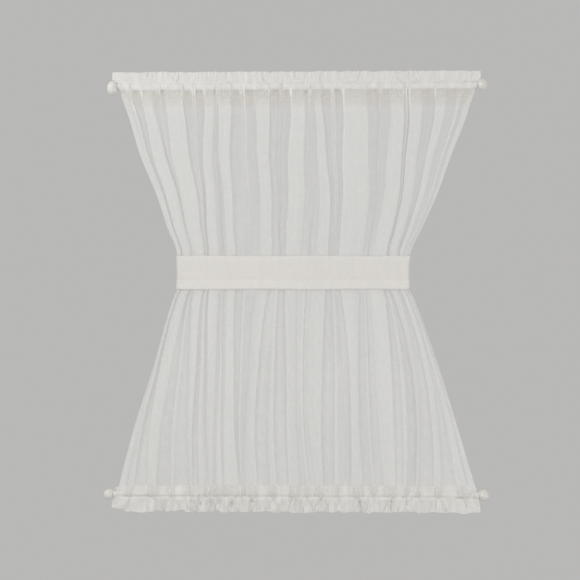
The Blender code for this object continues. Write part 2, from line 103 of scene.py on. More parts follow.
FRONT, BACK = Faces.FRONT, Faces.BACK
FOLDS = tuple(Fold(faces, relief, tuple(marks)) for faces, relief, *marks in (
    (FRONT, 0.9, (-360, 6), (-307, 5), (-274, 2), (-263, 3), (-272, 3), (-320, 4), (-352, 11), (-368, 11)),
    (BACK, 1.0, (-328, 22), (-284, 27), (-259, 18), (-249, 14), (-260, 16), (-299, 25), (-317, 24), (-326, 20)),
    (BACK, 0.5, (-304, -5), (-267, -1), (-249, 0), (-239, 1), (-249, 1), (-265, 7), (-275, 8), (-281, 8)),
    (FRONT, 1.0, (-272, 38), (-245, 36), (-234, 28), (-226, 20), (-236, 22), (-236, 16), (-239, 10), (-242, 9)),
    (BACK, 0.5, (-230, -6), (-216, -5), (-210, 1), (-209, 3), (-210, 2), (-215, 5), (-216, 11), (-216, 10)),
    (BACK, 1.0, (-198, 20), (-195, 20), (-188, 23), (-191, 22), (-189, 15), (-193, 20), (-195, 11), (-195, 11)),
    (FRONT, 0.5, (-181, -3), (-175, -3), (-168, 1), (-170, 2), (-171, 2), (-172, 3), (-176, 12), (-176, 9)),
    (FRONT, 1.0, (-162, 27), (-156, 20), (-151, 20), (-152, 18),
     (-152, 17), (-153, 16), (-151, 29), (-151, 27)),
    (BACK, 0.5, (-120, -8), (-113, -8), (-112, 2), (-117, 5), (-120, 3), (-127, 6), (-128, 3), (-127, 3)),
    (FRONT, 1.0, (-77, 29), (-71, 25), (-71, 27), (-75, 31), (-79, 34), (-100, 16), (-106, 27), (-105, 22)),
    (FRONT, 0.6, (-40, -6), (-40, -6), (-41, 2), (-43, 5), (-45, 3), (-58, 8), (-57, 13), (-57, 12)),
    (BACK, 1.0, (1, 31), (-2, 36), (-5, 36), (-12, 29), (-19, 20), (-15, 18), (-12, 26), (-10, 20)),
    (FRONT, 0.5, (29, -6), (34, -6), (32, 1), (22, 4), (12, 4), (8, 4), (15, 4), (18, 5)),
    (FRONT, 1.0, (50, 16), (61, 22), (62, 24), (55, 27), (47, 31), (38, 34), (41, 24), (46, 20)),
    (BACK, 0.6, (82, -6), (87, -6), (87, 3), (83, 5), (80, 4), (88, 7), (85, 8), (88, 8)),
    (BACK, 1.0, (131, 54), (131, 58), (128, 56), (122, 49), (118, 39), (127, 16), (129, 25), (133, 20)),
    (FRONT, 0.5, (184, -8), (178, -6), (166, 1), (158, 4), (155, 3), (155, 6), (162, 5), (167, 6)),
    (FRONT, 1.0, (224, 29), (212, 31), (196, 38), (184, 28), (180, 20), (193, 36), (199, 34), (205, 27)),
    (BACK, 0.5, (245, -2), (232, -1), (217, 0), (202, 1), (203, 4), (236, 9), (239, 8), (243, 8)),
    (BACK, 1.0, (265, 27), (247, 22), (228, 18), (213, 15), (222, 14), (265, 9), (265, 6), (272, 6)),
    (BACK, 0.9, (317, 20), (280, 12), (246, 8), (231, 6), (238, 8), (294, 11), (305, 16), (315, 13)),
    (FRONT, 0.9, (353, 6), (302, 4), (256, 3), (242, 3), (250, 4), (311, 4), (341, 18), (361, 16)),
))


@dataclass(frozen=True)
class Side:
    """Where the two side edges of the panel lie at one height."""

    z: float
    left: float
    right: float


SIDES = tuple(Side(*row) for row in (
    (-0.025, -0.3935, 0.3935),
    (-0.044, -0.3865, 0.3865),
    (-0.072, -0.377, 0.378),
    (-0.157, -0.352, 0.344),
    (-0.241, -0.317, 0.314),
    (-0.319, -0.291, 0.279),
    (-0.379, -0.2695, 0.2525),
    (-0.418, -0.2685, 0.2490),
    (-0.457, -0.2695, 0.2505),
    (-0.474, -0.2770, 0.2590),
    (-0.640, -0.326, 0.319),
    (-0.778, -0.369, 0.362),
    (-0.858, -0.390, 0.386),
    (-0.8985, -0.3998, 0.3985),
))
SIDE_Z = tuple(side.z for side in SIDES)
SIDE_EDGES = np.array([(side.left, side.right) for side in SIDES])


@dataclass(frozen=True)
class Tuck:
    """One line across a pocket, header or ruffle, at a rise over its rod.

    gap is half the space between the front and the back layer, belly is how much of the pocket's
    gathers stand out there, crimp is the height of the crinkles that both layers share, and ahead
    is how far the middle between the layers lies in front of the rod's axis.
    """

    rise: float
    gap: float
    belly: float
    crimp: float
    ahead: float = 0.0


UPPER_TUCKS = tuple(Tuck(*row) for row in (
    (-0.0405, 0.0007, 0.0, 0.0010),
    (-0.0330, 0.0007, 0.0, 0.0011),
    (-0.0258, 0.0009, 0.0, 0.0011),
    (-0.0250, 0.0009, 0.0, 0.0011),
    (-0.0242, 0.0009, 0.0, 0.0011),
    (-0.0190, 0.0023, 0.2, 0.0011),
    (-0.0140, 0.0038, 0.3, 0.0009),
    (-0.0100, 0.0050, 0.4, 0.0006),
    (-0.0082, 0.0056, 0.5, 0.0004),
    (-0.0068, 0.0061, 0.6, 0.0003),
    (-0.0048, 0.0067, 0.6, 0.0),
    (-0.0022, 0.0073, 0.6, 0.0),
    (0.0005, 0.0076, 0.6, 0.0),
    (0.0032, 0.0070, 0.6, 0.0),
    (0.0056, 0.0054, 0.4, 0.0002, 0.0005),
    (0.0074, 0.0036, 0.2, 0.0004, 0.0018),
    (0.0086, 0.0021, 0.1, 0.0006, 0.0031),
    (0.0096, 0.0012, 0.0, 0.0008, 0.0038),
    (0.0125, 0.0012, 0.0, 0.0013, 0.0036),
    (0.0170, 0.0013, 0.0, 0.0019, 0.0030),
    (0.0230, 0.0013, 0.0, 0.0025, 0.0022),
    (0.0285, 0.0012, 0.0, 0.0029, 0.0015),
    (0.0308, 0.0007, 0.0, 0.0030, 0.0012),
    (0.0314, 0.0, 0.0, 0.0030, 0.0012),
))

LOWER_TUCKS = tuple(Tuck(*row) for row in (
    (0.0184, 0.0009, 0.0, 0.0017),
    (0.0176, 0.0009, 0.0, 0.0018),
    (0.0168, 0.0010, 0.1, 0.0018),
    (0.0135, 0.0024, 0.5, 0.0018),
    (0.0100, 0.0042, 0.9, 0.0014),
    (0.0066, 0.0060, 1.3, 0.0007),
    (0.0030, 0.0072, 1.5, 0.0002),
    (-0.0005, 0.0076, 1.1, 0.0001),
    (-0.0032, 0.0070, 0.6, 0.0003, 0.0001),
    (-0.0050, 0.0057, 0.3, 0.0008, 0.0014),
    (-0.0061, 0.0045, 0.1, 0.0012, 0.0024),
    (-0.0068, 0.0031, 0.0, 0.0016, 0.0037),
    (-0.0074, 0.0013, 0.0, 0.0020, 0.0055),
    (-0.0105, 0.0015, 0.0, 0.0040, 0.0051),
    (-0.0160, 0.0016, 0.0, 0.0062, 0.0039),
    (-0.0230, 0.0017, 0.0, 0.0076, 0.0025),
    (-0.0300, 0.0017, 0.0, 0.0082, 0.0015),
    (-0.0355, 0.0014, 0.0, 0.0082, 0.0008),
    (-0.0385, 0.0008, 0.0, 0.0084, 0.0006),
    (-0.0392, 0.0, 0.0, 0.0084, 0.0006),
))


# ---------------------------------------------------------------- small helpers


def hermite(knots: tuple, values: np.ndarray, at: np.ndarray) -> np.ndarray:
    """Smooth interpolation through readings, with no overshoot between equal ones.

    Args:
        knots: The positions of the readings, rising or falling.
        values: The readings, one row each.
        at: The positions to read at.

    Returns:
        One row for each position.
    """
    x = np.asarray(knots, float)
    y = np.asarray(values, float)
    if y.ndim == 1:
        y = y[:, None]
    if x[0] > x[-1]:
        x, y = x[::-1], y[::-1]
    step = np.diff(x)[:, None]
    slope = np.diff(y, axis=0) / step
    tangent = np.zeros_like(y)
    tangent[1:-1] = np.where(
        slope[:-1] * slope[1:] > 0,
        2 * slope[:-1] * slope[1:] / np.where(slope[:-1] + slope[1:] == 0, 1, slope[:-1] + slope[1:]),
        0.0,
    )
    tangent[0], tangent[-1] = slope[0], slope[-1]
    at = np.clip(np.asarray(at, float), x[0], x[-1])
    index = np.clip(np.searchsorted(x, at) - 1, 0, len(x) - 2)
    t = ((at - x[index]) / (x[index + 1] - x[index]))[:, None]
    h = step[index]
    a = (1 + 2 * t) * (1 - t) ** 2 * y[index] + t * (1 - t) ** 2 * h * tangent[index]
    b = t * t * (3 - 2 * t) * y[index + 1] + t * t * (t - 1) * h * tangent[index + 1]
    return a + b


def ease(share: float | np.ndarray) -> float | np.ndarray:
    """A share from 0 to 1, eased at both ends."""
    return share * share * (3 - 2 * share)


def smooth_step(low: float, high: float, value: float) -> float:
    """Rises from 0 at low to 1 at high, eased at both ends."""
    return ease(min(1.0, max(0.0, (value - low) / (high - low))))


def hump(value: float | np.ndarray, centre: float | np.ndarray, width: float) -> float | np.ndarray:
    """A soft hump: 1 at its centre, and almost nothing two widths away."""
    return np.exp(-(((value - centre) / width) ** 2))


def unit(vectors: np.ndarray) -> np.ndarray:
    """Vectors brought to a length of 1."""
    return vectors / np.maximum(np.linalg.norm(vectors, axis=-1, keepdims=True), 1e-12)


def run_along(line: np.ndarray) -> np.ndarray:
    """How far along a line each of its points lies."""
    return np.concatenate([[0.0], np.cumsum(np.linalg.norm(np.diff(line, axis=0), axis=1))])


def read_along(line: np.ndarray, run: np.ndarray, at: np.ndarray) -> np.ndarray:
    """A line's values at some distances along it, one row for each distance."""
    return np.stack([np.interp(at, run, column) for column in line.T], axis=1)


def place_object(name: str, data: bpy.types.ID) -> bpy.types.Object:
    """Makes an object of its data and links it to the scene.

    Args:
        name: The object's name.
        data: Its mesh, camera or light.

    Returns:
        The object.
    """
    item = bpy.data.objects.new(name, data)
    bpy.context.scene.collection.objects.link(item)
    return item


def new_object(name: str, vertices: np.ndarray, faces: list) -> bpy.types.Object:
    """Makes a smooth mesh object from arrays and rides it on the curtain's one body.

    Args:
        name: The piece's name.
        vertices: One row of x, y and z for each vertex.
        faces: The vertex indices of each face.

    Returns:
        The object, linked to the scene.
    """
    mesh = bpy.data.meshes.new(name)
    mesh.from_pydata([tuple(row) for row in vertices.tolist()], [], faces)
    mesh.validate()
    mesh.shade_smooth()
    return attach(place_object(name, mesh), BODY)


def grid_faces(rows: int, columns: int) -> list:
    """The quads of a grid of vertices stored row by row.

    Args:
        rows: How many rows it has.
        columns: How many vertices a row has.

    Returns:
        Each face as the numbers of its corners.
    """
    first = np.arange(rows * columns).reshape(rows, columns)
    corners = (first[:-1, :-1], first[1:, :-1], first[1:, 1:], first[:-1, 1:])
    return np.stack([corner.ravel() for corner in corners], axis=1).tolist()


def set_uv(mesh: bpy.types.Mesh, across: np.ndarray, down: np.ndarray) -> None:
    """Writes the place in the flat cloth of each vertex of a grid, in metres, as its UV.

    Args:
        mesh: The mesh, its vertices stored row by row.
        across: The place across the cloth of each column.
        down: The place along the cloth of each row.
    """
    uv = np.stack(np.broadcast_arrays(across[None, :], down[:, None]), axis=2).reshape(-1, 2)
    layer = mesh.uv_layers.new(name="cloth")
    loops = np.empty(len(mesh.loops), dtype=np.int32)
    mesh.loops.foreach_get("vertex_index", loops)
    layer.data.foreach_set("uv", uv[loops].astype(np.float32).ravel())


def even_normals(mesh: bpy.types.Mesh, grid: np.ndarray) -> None:
    """Gives a grid of cloth normals weighted by area, so that flat cloth stays flat up to its folds.

    Args:
        mesh: The mesh, its vertices stored row by row.
        grid: The points by row and column.
    """
    faces = np.cross(grid[1:, 1:] - grid[:-1, :-1], grid[:-1, 1:] - grid[1:, :-1])
    total = np.zeros_like(grid)
    for rows in (slice(None, -1), slice(1, None)):
        for columns in (slice(None, -1), slice(1, None)):
            total[rows, columns] += faces
    mesh.normals_split_custom_set_from_vertices(unit(total).reshape(-1, 3).tolist())


def set_attribute(mesh: bpy.types.Mesh, name: str, values: np.ndarray) -> None:
    """Writes one number for each vertex."""
    layer = mesh.attributes.new(name, "FLOAT", "POINT")
    layer.data.foreach_set("value", values.astype(np.float32).ravel())


# ---------------------------------------------------------------- finishes


def node_group(name: str, inputs: tuple, outputs: tuple) -> bpy.types.NodeTree:
    """An empty shader node group with named sockets.

    Args:
        name: The group's name.
        inputs: Pairs of socket name and default; a default of None is a vector.
        outputs: Pairs of socket name and socket type.

    Returns:
        The group with its input and output nodes, labelled "in" and "out".
    """
    group = bpy.data.node_groups.new(name, "ShaderNodeTree")
    for label, default in inputs:
        kind = "NodeSocketVector" if default is None else "NodeSocketFloat"
        socket = group.interface.new_socket(label, in_out="INPUT", socket_type=kind)
        if default is not None:
            socket.default_value = default
    for label, kind in outputs:
        group.interface.new_socket(label, in_out="OUTPUT", socket_type=kind)
    group.nodes.new("NodeGroupInput").name = "in"
    group.nodes.new("NodeGroupOutput").name = "out"
    return group


@dataclass
class Nodes:
    """Short ways to add and link the nodes of one tree."""

    tree: bpy.types.NodeTree

    def add(self, kind: str, **settings: object) -> bpy.types.Node:
        """Adds a node, with its properties set.

        Args:
            kind: The node's type.
            settings: Its properties by name.

        Returns:
            The node.
        """
        node = self.tree.nodes.new(kind)
        for key, value in settings.items():
            setattr(node, key, value)
        return node

    def link(self, source: bpy.types.NodeSocket, target: bpy.types.NodeSocket) -> None:
        """Links an output to an input."""
        self.tree.links.new(source, target)

    def feed(self, value: object, socket: bpy.types.NodeSocket) -> None:
        """Links an output to an input, or sets the input to a plain value.

        Args:
            value: The output or the value.
            socket: The input.
        """
        if isinstance(value, bpy.types.NodeSocket):
            self.link(value, socket)
        else:
            socket.default_value = value

    def math(self, operation: str, *values: object, clamp: bool = False) -> bpy.types.NodeSocket:
        """A Math node on sockets or numbers.

        Args:
            operation: What it works out.
            values: A socket or number for each input.
            clamp: Whether the result stays within 0 and 1.

        Returns:
            Its result.
        """
        node = self.add("ShaderNodeMath", operation=operation, use_clamp=clamp)
        for socket, value in zip(node.inputs, values):
            self.feed(value, socket)
        return node.outputs[0]

    def scaled(self, vector: object, scale: tuple) -> bpy.types.NodeSocket:
        """A vector multiplied by three numbers.

        Args:
            vector: The vector's socket.
            scale: The three numbers.

        Returns:
            The product.
        """
        node = self.add("ShaderNodeVectorMath", operation="MULTIPLY")
        self.feed(vector, node.inputs[0])
        node.inputs[1].default_value = scale
        return node.outputs[0]

    def noise(self, vector: object, scale: object, detail: float = 2.0) -> bpy.types.NodeSocket:
        """A noise value from 0 to 1, at one scale or at one for each axis.

        Args:
            vector: Where it is read.
            scale: The scale, or three of them.
            detail: How many finer layers it has.

        Returns:
            The value.
        """
        if isinstance(scale, tuple):
            vector, scale = self.scaled(vector, scale), 1.0
        node = self.add("ShaderNodeTexNoise")
        self.feed(vector, node.inputs["Vector"])
        self.feed(scale, node.inputs["Scale"])
        node.inputs["Detail"].default_value = detail
        return node.outputs["Fac"]

    def blend(self, share: object, first: object, second: object) -> bpy.types.NodeSocket:
        """A colour between two.

        Args:
            share: How much of the second it has.
            first: The first colour.
            second: The second colour.

        Returns:
            The colour.
        """
        node = self.add("ShaderNodeMix", data_type="RGBA")
        self.feed(share, node.inputs["Factor"])
        self.feed(first, node.inputs["A"])
        self.feed(second, node.inputs["B"])
        return node.outputs["Result"]

    def group(self, tree: bpy.types.NodeTree, **values: object) -> bpy.types.NodeOutputs:
        """A node group, with its inputs linked or set by their names.

        Args:
            tree: The group.
            values: A socket or value for each input.

        Returns:
            Its outputs.
        """
        node = self.add("ShaderNodeGroup", node_tree=tree)
        for name, value in values.items():
            self.feed(value, node.inputs[name])
        return node.outputs

    def bump(self, height: object, strength: float, distance: float,
             normal: object = None) -> bpy.types.NodeSocket:
        """A normal that shows a height.

        Args:
            height: The height.
            strength: How much of it shows.
            distance: How deep it is, in metres.
            normal: The normal that it lies on, or None for the surface's own.

        Returns:
            The normal.
        """
        node = self.add("ShaderNodeBump")
        node.inputs["Strength"].default_value = strength
        node.inputs["Distance"].default_value = distance
        self.feed(height, node.inputs["Height"])
        if normal is not None:
            self.feed(normal, node.inputs["Normal"])
        return node.outputs["Normal"]


def set_inputs(node: bpy.types.Node, values: dict) -> None:
    """Sets a node's own inputs to plain values, by their names."""
    for name, value in values.items():
        node.inputs[name].default_value = value


def weave_group() -> bpy.types.NodeTree:
    """Plain weave: threads across and along, with the thick and thin places of spun yarn.

    Returns:
        A group that takes flat-cloth coordinates and gives a height, a cover and a tint, each 0 to 1.
    """
    group = node_group(
        "plain_weave",
        (("Cloth", None), ("Thread", 0.0007), ("Slub", 0.5)),
        (("Height", "NodeSocketFloat"), ("Cover", "NodeSocketFloat"), ("Tint", "NodeSocketFloat")),
    )
    n = Nodes(group)
    source, sink = group.nodes["in"], group.nodes["out"]
    split = n.add("ShaderNodeSeparateXYZ")
    n.link(source.outputs["Cloth"], split.inputs[0])
    turns = []
    for axis in ("X", "Y"):
        angle = n.math("DIVIDE", split.outputs[axis], source.outputs["Thread"])
        turns.append(n.math("SINE", n.math("MULTIPLY", angle, 2 * math.pi)))
    height = n.math("MAXIMUM", turns[0], turns[1])
    n.link(n.math("MULTIPLY_ADD", height, 0.5, 0.5), sink.inputs["Height"])
    along = n.noise(source.outputs["Cloth"], (700.0, 14.0, 1.0))
    across = n.noise(source.outputs["Cloth"], (16.0, 620.0, 1.0))
    slub = n.math("SUBTRACT", n.math("ADD", along, across), 1.0)
    cover = n.math("MULTIPLY_ADD", slub, source.outputs["Slub"], 0.5)
    n.link(cover, sink.inputs["Cover"])
    n.link(n.noise(source.outputs["Cloth"], 9.0, 3.0), sink.inputs["Tint"])
    return group


def scatter_group() -> bpy.types.NodeTree:
    """Evens out shading across the cloth's face, as light that passes through thin threads does.

    Returns:
        A group that takes a normal and gives it with its part across the face reduced.
    """
    group = node_group("thread_scatter", (("Normal", None), ("Keep", 0.5)), (("Normal", "NodeSocketVector"),))
    n = Nodes(group)
    source, sink = group.nodes["in"], group.nodes["out"]
    keep = n.add("ShaderNodeCombineXYZ")
    n.link(source.outputs["Keep"], keep.inputs["X"])
    keep.inputs["Y"].default_value = 1.0
    n.link(n.math("MULTIPLY", source.outputs["Keep"], 0.55), keep.inputs["Z"])
    flatter = n.add("ShaderNodeVectorMath", operation="MULTIPLY")
    n.link(source.outputs["Normal"], flatter.inputs[0])
    n.link(keep.outputs[0], flatter.inputs[1])
    even = n.add("ShaderNodeVectorMath", operation="NORMALIZE")
    n.link(flatter.outputs[0], even.inputs[0])
    n.link(even.outputs[0], sink.inputs["Normal"])
    return group


def crinkle_group() -> bpy.types.NodeTree:
    """The small crushed marks that thin cloth keeps from handling and pressing.

    Returns:
        A group that takes flat-cloth coordinates and gives a height from 0 to 1.
    """
    group = node_group("crinkle", (("Cloth", None), ("Size", 60.0)), (("Height", "NodeSocketFloat"),))
    n = Nodes(group)
    source, sink = group.nodes["in"], group.nodes["out"]
    bend = n.add("ShaderNodeTexNoise")
    n.link(source.outputs["Cloth"], bend.inputs["Vector"])
    bend.inputs["Scale"].default_value = 22.0
    shift = n.add("ShaderNodeVectorMath", operation="MULTIPLY_ADD")
    n.link(bend.outputs["Color"], shift.inputs[0])
    shift.inputs[1].default_value = (0.02, 0.02, 0.0)
    n.link(source.outputs["Cloth"], shift.inputs[2])
    cells = n.add("ShaderNodeTexVoronoi", feature="SMOOTH_F1")
    n.link(shift.outputs[0], cells.inputs["Vector"])
    n.link(source.outputs["Size"], cells.inputs["Scale"])
    soft = n.math("MULTIPLY", n.noise(shift.outputs[0], source.outputs["Size"]), 0.5)
    n.link(n.math("MULTIPLY_ADD", cells.outputs["Distance"], 0.5, soft), sink.inputs["Height"])
    return group


def grain_group() -> bpy.types.NodeTree:
    """The slight unevenness and wear of a painted or moulded surface.

    Returns:
        A group that takes object coordinates and gives a height and a wear mask, each 0 to 1.
    """
    group = node_group(
        "paint_grain",
        (("Place", None), ("Size", 300.0)),
        (("Height", "NodeSocketFloat"), ("Wear", "NodeSocketFloat")),
    )
    n = Nodes(group)
    source, sink = group.nodes["in"], group.nodes["out"]
    n.link(n.noise(source.outputs["Place"], source.outputs["Size"]), sink.inputs["Height"])
    marks = n.noise(source.outputs["Place"], (60.0, 220.0, 220.0), 4.0)
    n.link(n.math("MULTIPLY", n.math("SUBTRACT", marks, 0.58), 6.0, clamp=True), sink.inputs["Wear"])
    return group


def principled(name: str) -> tuple:
    """A new material with a Principled shader.

    Args:
        name: The material's name.

    Returns:
        The material, its node helper and the shader node.
    """
    material = bpy.data.materials.new(name)
    material.use_nodes = True
    return material, Nodes(material.node_tree), material.node_tree.nodes["Principled BSDF"]


@dataclass(frozen=True)
class ClothFinish:
    """Voile: fine ivory threads with open space between them.

    cover is the share of thread in one plain layer, and shadow how much of it stops light. mottle,
    slub and the bumps are how uneven it is. keep and stiff_keep are how much of its shape shows in
    the shading of limp cloth, and how much more in stiff cloth. doubled is the deeper tan
    of cloth lying over its own hem, which also colours the painted shade under the lower rod and on
    the ruffle. dense is its tone where it is packed, from dense_from layers on, gaining dense_gain with
    each layer, less dense_lost where it has the deeper tan.
    """

    name: str
    colour: tuple = (0.880, 0.880, 0.872)
    shade: tuple = (0.858, 0.857, 0.846)
    doubled: tuple = (0.775, 0.739, 0.670)
    dense: tuple = (0.955, 0.946, 0.924)
    dense_from: float = 1.25
    dense_gain: float = 0.55
    dense_lost: float = 0.32
    cover: float = 0.45
    shadow: float = 0.42
    mottle: float = 0.35
    blotches: tuple = (75.0, 42.0, 1.0)
    patches: tuple = (7.0, 3.0, 1.0)
    keep: float = 0.32
    stiff_keep: float = 0.68
    slub: float = 0.30
    weave_bump: float = 0.10
    weave_depth: float = 0.0002
    crinkle_bump: float = 0.25
    crinkle_depth: float = 0.002
    crinkle_size: float = 95.0
    limp_crinkle: float = 0.5
    stiff_crinkle: float = 1.6

    def build(self, weave: bpy.types.NodeTree, crinkle: bpy.types.NodeTree,
              scatter: bpy.types.NodeTree) -> bpy.types.Material:
        """Makes the material.

        Args:
            weave: The weave group.
            crinkle: The crinkle group.
            scatter: The thread scatter group.

        Returns:
            The material, see-through between its threads and denser where the cloth is gathered.
        """
        material, n, shader = principled(self.name)
        cloth = n.add("ShaderNodeUVMap", uv_map="cloth").outputs["UV"]
        threads = n.group(weave, Cloth=cloth, Slub=self.slub)
        marks = n.group(crinkle, Cloth=cloth, Size=self.crinkle_size)
        stiff, doubled, gather = (
            n.add("ShaderNodeAttribute", attribute_name=name).outputs["Fac"]
            for name in ("stiff", "doubled", "gather")
        )
        n.link(self.tint(n, threads["Tint"], doubled, gather), shader.inputs["Base Color"])
        n.link(self.thread_share(n, cloth, threads["Cover"], gather), shader.inputs["Alpha"])
        set_inputs(shader, {
            "Roughness": 0.85, "Specular IOR Level": 0.25, "Sheen Weight": 0.12, "Sheen Roughness": 0.5,
        })
        kept = n.math("MULTIPLY_ADD", stiff, self.stiff_keep, self.keep)
        even = n.group(scatter, Normal=n.add("ShaderNodeNewGeometry").outputs["Normal"], Keep=kept)
        fine = n.bump(threads["Height"], self.weave_bump, self.weave_depth, even["Normal"])
        crushed = n.math("MULTIPLY_ADD", stiff, self.stiff_crinkle, self.limp_crinkle)
        height = n.math("MULTIPLY", marks["Height"], crushed)
        n.link(n.bump(height, self.crinkle_bump, self.crinkle_depth, fine), shader.inputs["Normal"])
        return material

    def tint(self, n: Nodes, mix: bpy.types.NodeSocket, doubled: bpy.types.NodeSocket,
             gather: bpy.types.NodeSocket) -> bpy.types.NodeSocket:
        """The cloth's colour: uneven ivory, deeper where it is doubled and where shade is painted on it, whiter
        where it is packed.

        Args:
            n: The material's nodes.
            mix: The mask of its uneven tone.
            doubled: How far it lies over its own hem, plus the painted shade under the lower rod and on the
                ruffle.
            gather: How many layers of plain cloth it amounts to.

        Returns:
            The colour.
        """
        tone = n.blend(mix, (*self.colour, 1.0), (*self.shade, 1.0))
        # The deeper tan stands for doubled cloth and, under the lower rod and on the ruffle, for painted shade.
        tone = n.blend(doubled, tone, (*self.doubled, 1.0))
        packed = n.math("MULTIPLY", n.math("SUBTRACT", gather, self.dense_from), self.dense_gain, clamp=True)
        packed = n.math("MULTIPLY", packed, n.math("MULTIPLY_ADD", doubled, -self.dense_lost, 1.0))
        return n.blend(packed, tone, (*self.dense, 1.0))

    def thread_share(self, n: Nodes, cloth: bpy.types.NodeSocket, slubs: bpy.types.NodeSocket,
                     gather: bpy.types.NodeSocket) -> bpy.types.NodeSocket:
        """The share of the view that threads fill, a little less for light that passes through.

        Args:
            n: The material's nodes.
            cloth: The flat-cloth coordinates.
            slubs: The mask of thick and thin places.
            gather: How many layers of plain cloth it amounts to.

        Returns:
            The share, for the material's alpha.
        """
        open_share = n.math("POWER", 1.0 - self.cover, gather)
        uneven = n.math("MULTIPLY_ADD", slubs, 0.5, 0.75)
        for size, detail in ((self.blotches, 3.0), (self.patches, 1.0)):
            blotch = n.math("SUBTRACT", n.noise(cloth, size, detail), 0.5)
            uneven = n.math("MULTIPLY_ADD", blotch, self.mottle, uneven)
        share = n.math("MULTIPLY", n.math("SUBTRACT", 1.0, open_share), uneven, clamp=True)
        shaded = n.add("ShaderNodeLightPath").outputs["Is Shadow Ray"]
        return n.math("MULTIPLY", share, n.math("MULTIPLY_ADD", shaded, self.shadow - 1.0, 1.0))


@dataclass(frozen=True)
class ThreadFinish:
    """Sewing thread: twisted, a little shinier than the cloth."""

    name: str = "ivory_thread"
    colour: tuple = (0.93, 0.915, 0.875)
    dark: float = 0.88
    twist: float = 2600.0

    def build(self) -> bpy.types.Material:
        """Makes the material.

        Returns:
            The material.
        """
        material, n, shader = principled(self.name)
        twist = n.noise(n.add("ShaderNodeTexCoord").outputs["Object"], self.twist, 1.0)
        dark = tuple(self.dark * part for part in self.colour)
        n.link(n.blend(twist, (*dark, 1.0), (*self.colour, 1.0)), shader.inputs["Base Color"])
        shader.inputs["Roughness"].default_value = 0.6
        n.link(n.bump(twist, 0.3, 0.0002), shader.inputs["Normal"])
        return material


@dataclass(frozen=True)
class PaintFinish:
    """White enamel on steel, or glossy ivory-white plastic."""

    name: str
    colour: tuple
    worn: tuple
    roughness: float
    coat: float = 0.0
    grain: float = 300.0
    bump: float = 0.15
    grain_depth: float = 0.0003
    worn_roughness: float = 0.15
    metal: float = 0.0

    def build(self, grain: bpy.types.NodeTree) -> bpy.types.Material:
        """Makes the material.

        Args:
            grain: The paint grain group.

        Returns:
            The material.
        """
        material, n, shader = principled(self.name)
        place = n.add("ShaderNodeTexCoord").outputs["Object"]
        surface = n.group(grain, Place=place, Size=self.grain)
        worn = n.blend(surface["Wear"], (*self.colour, 1.0), (*self.worn, 1.0))
        n.link(worn, shader.inputs["Base Color"])
        rough = n.math("MULTIPLY_ADD", surface["Wear"], self.worn_roughness, self.roughness)
        n.link(rough, shader.inputs["Roughness"])
        set_inputs(shader, {"Coat Weight": self.coat, "Coat Roughness": 0.12, "Metallic": self.metal})
        n.link(n.bump(surface["Height"], self.bump, self.grain_depth), shader.inputs["Normal"])
        return material


@dataclass
class Palette:
    """Every finish of the curtain, built once."""

    voile: bpy.types.Material = field(init=False)
    hem: bpy.types.Material = field(init=False)
    band: bpy.types.Material = field(init=False)
    thread: bpy.types.Material = field(init=False)
    enamel: bpy.types.Material = field(init=False)
    knob: bpy.types.Material = field(init=False)
    steel: bpy.types.Material = field(init=False)

    def __post_init__(self) -> None:
        """Builds the groups and the materials."""
        cloth, grain = (weave_group(), crinkle_group(), scatter_group()), grain_group()
        self.voile = ClothFinish("ivory_voile").build(*cloth)
        self.hem = ClothFinish("voile_side_hem").build(*cloth)
        self.band = ClothFinish(
            "voile_band", colour=(0.900, 0.882, 0.852), shade=(0.888, 0.868, 0.836), cover=0.66,
            mottle=0.20, slub=0.15, crinkle_bump=0.12, crinkle_size=60.0,
        ).build(*cloth)
        self.thread = ThreadFinish().build()
        self.enamel = PaintFinish("white_enamel", (0.87, 0.86, 0.83), (0.80, 0.79, 0.75), 0.34).build(grain)
        self.knob = PaintFinish(
            "knob_plastic", (0.80, 0.785, 0.745), (0.77, 0.755, 0.715), 0.30, coat=0.3, bump=0.05
        ).build(grain)
        self.steel = PaintFinish(
            "screw_steel", (0.62, 0.61, 0.59), (0.50, 0.49, 0.47), 0.32, metal=1.0, grain=900.0
        ).build(grain)


# ---------------------------------------------------------------- the panel


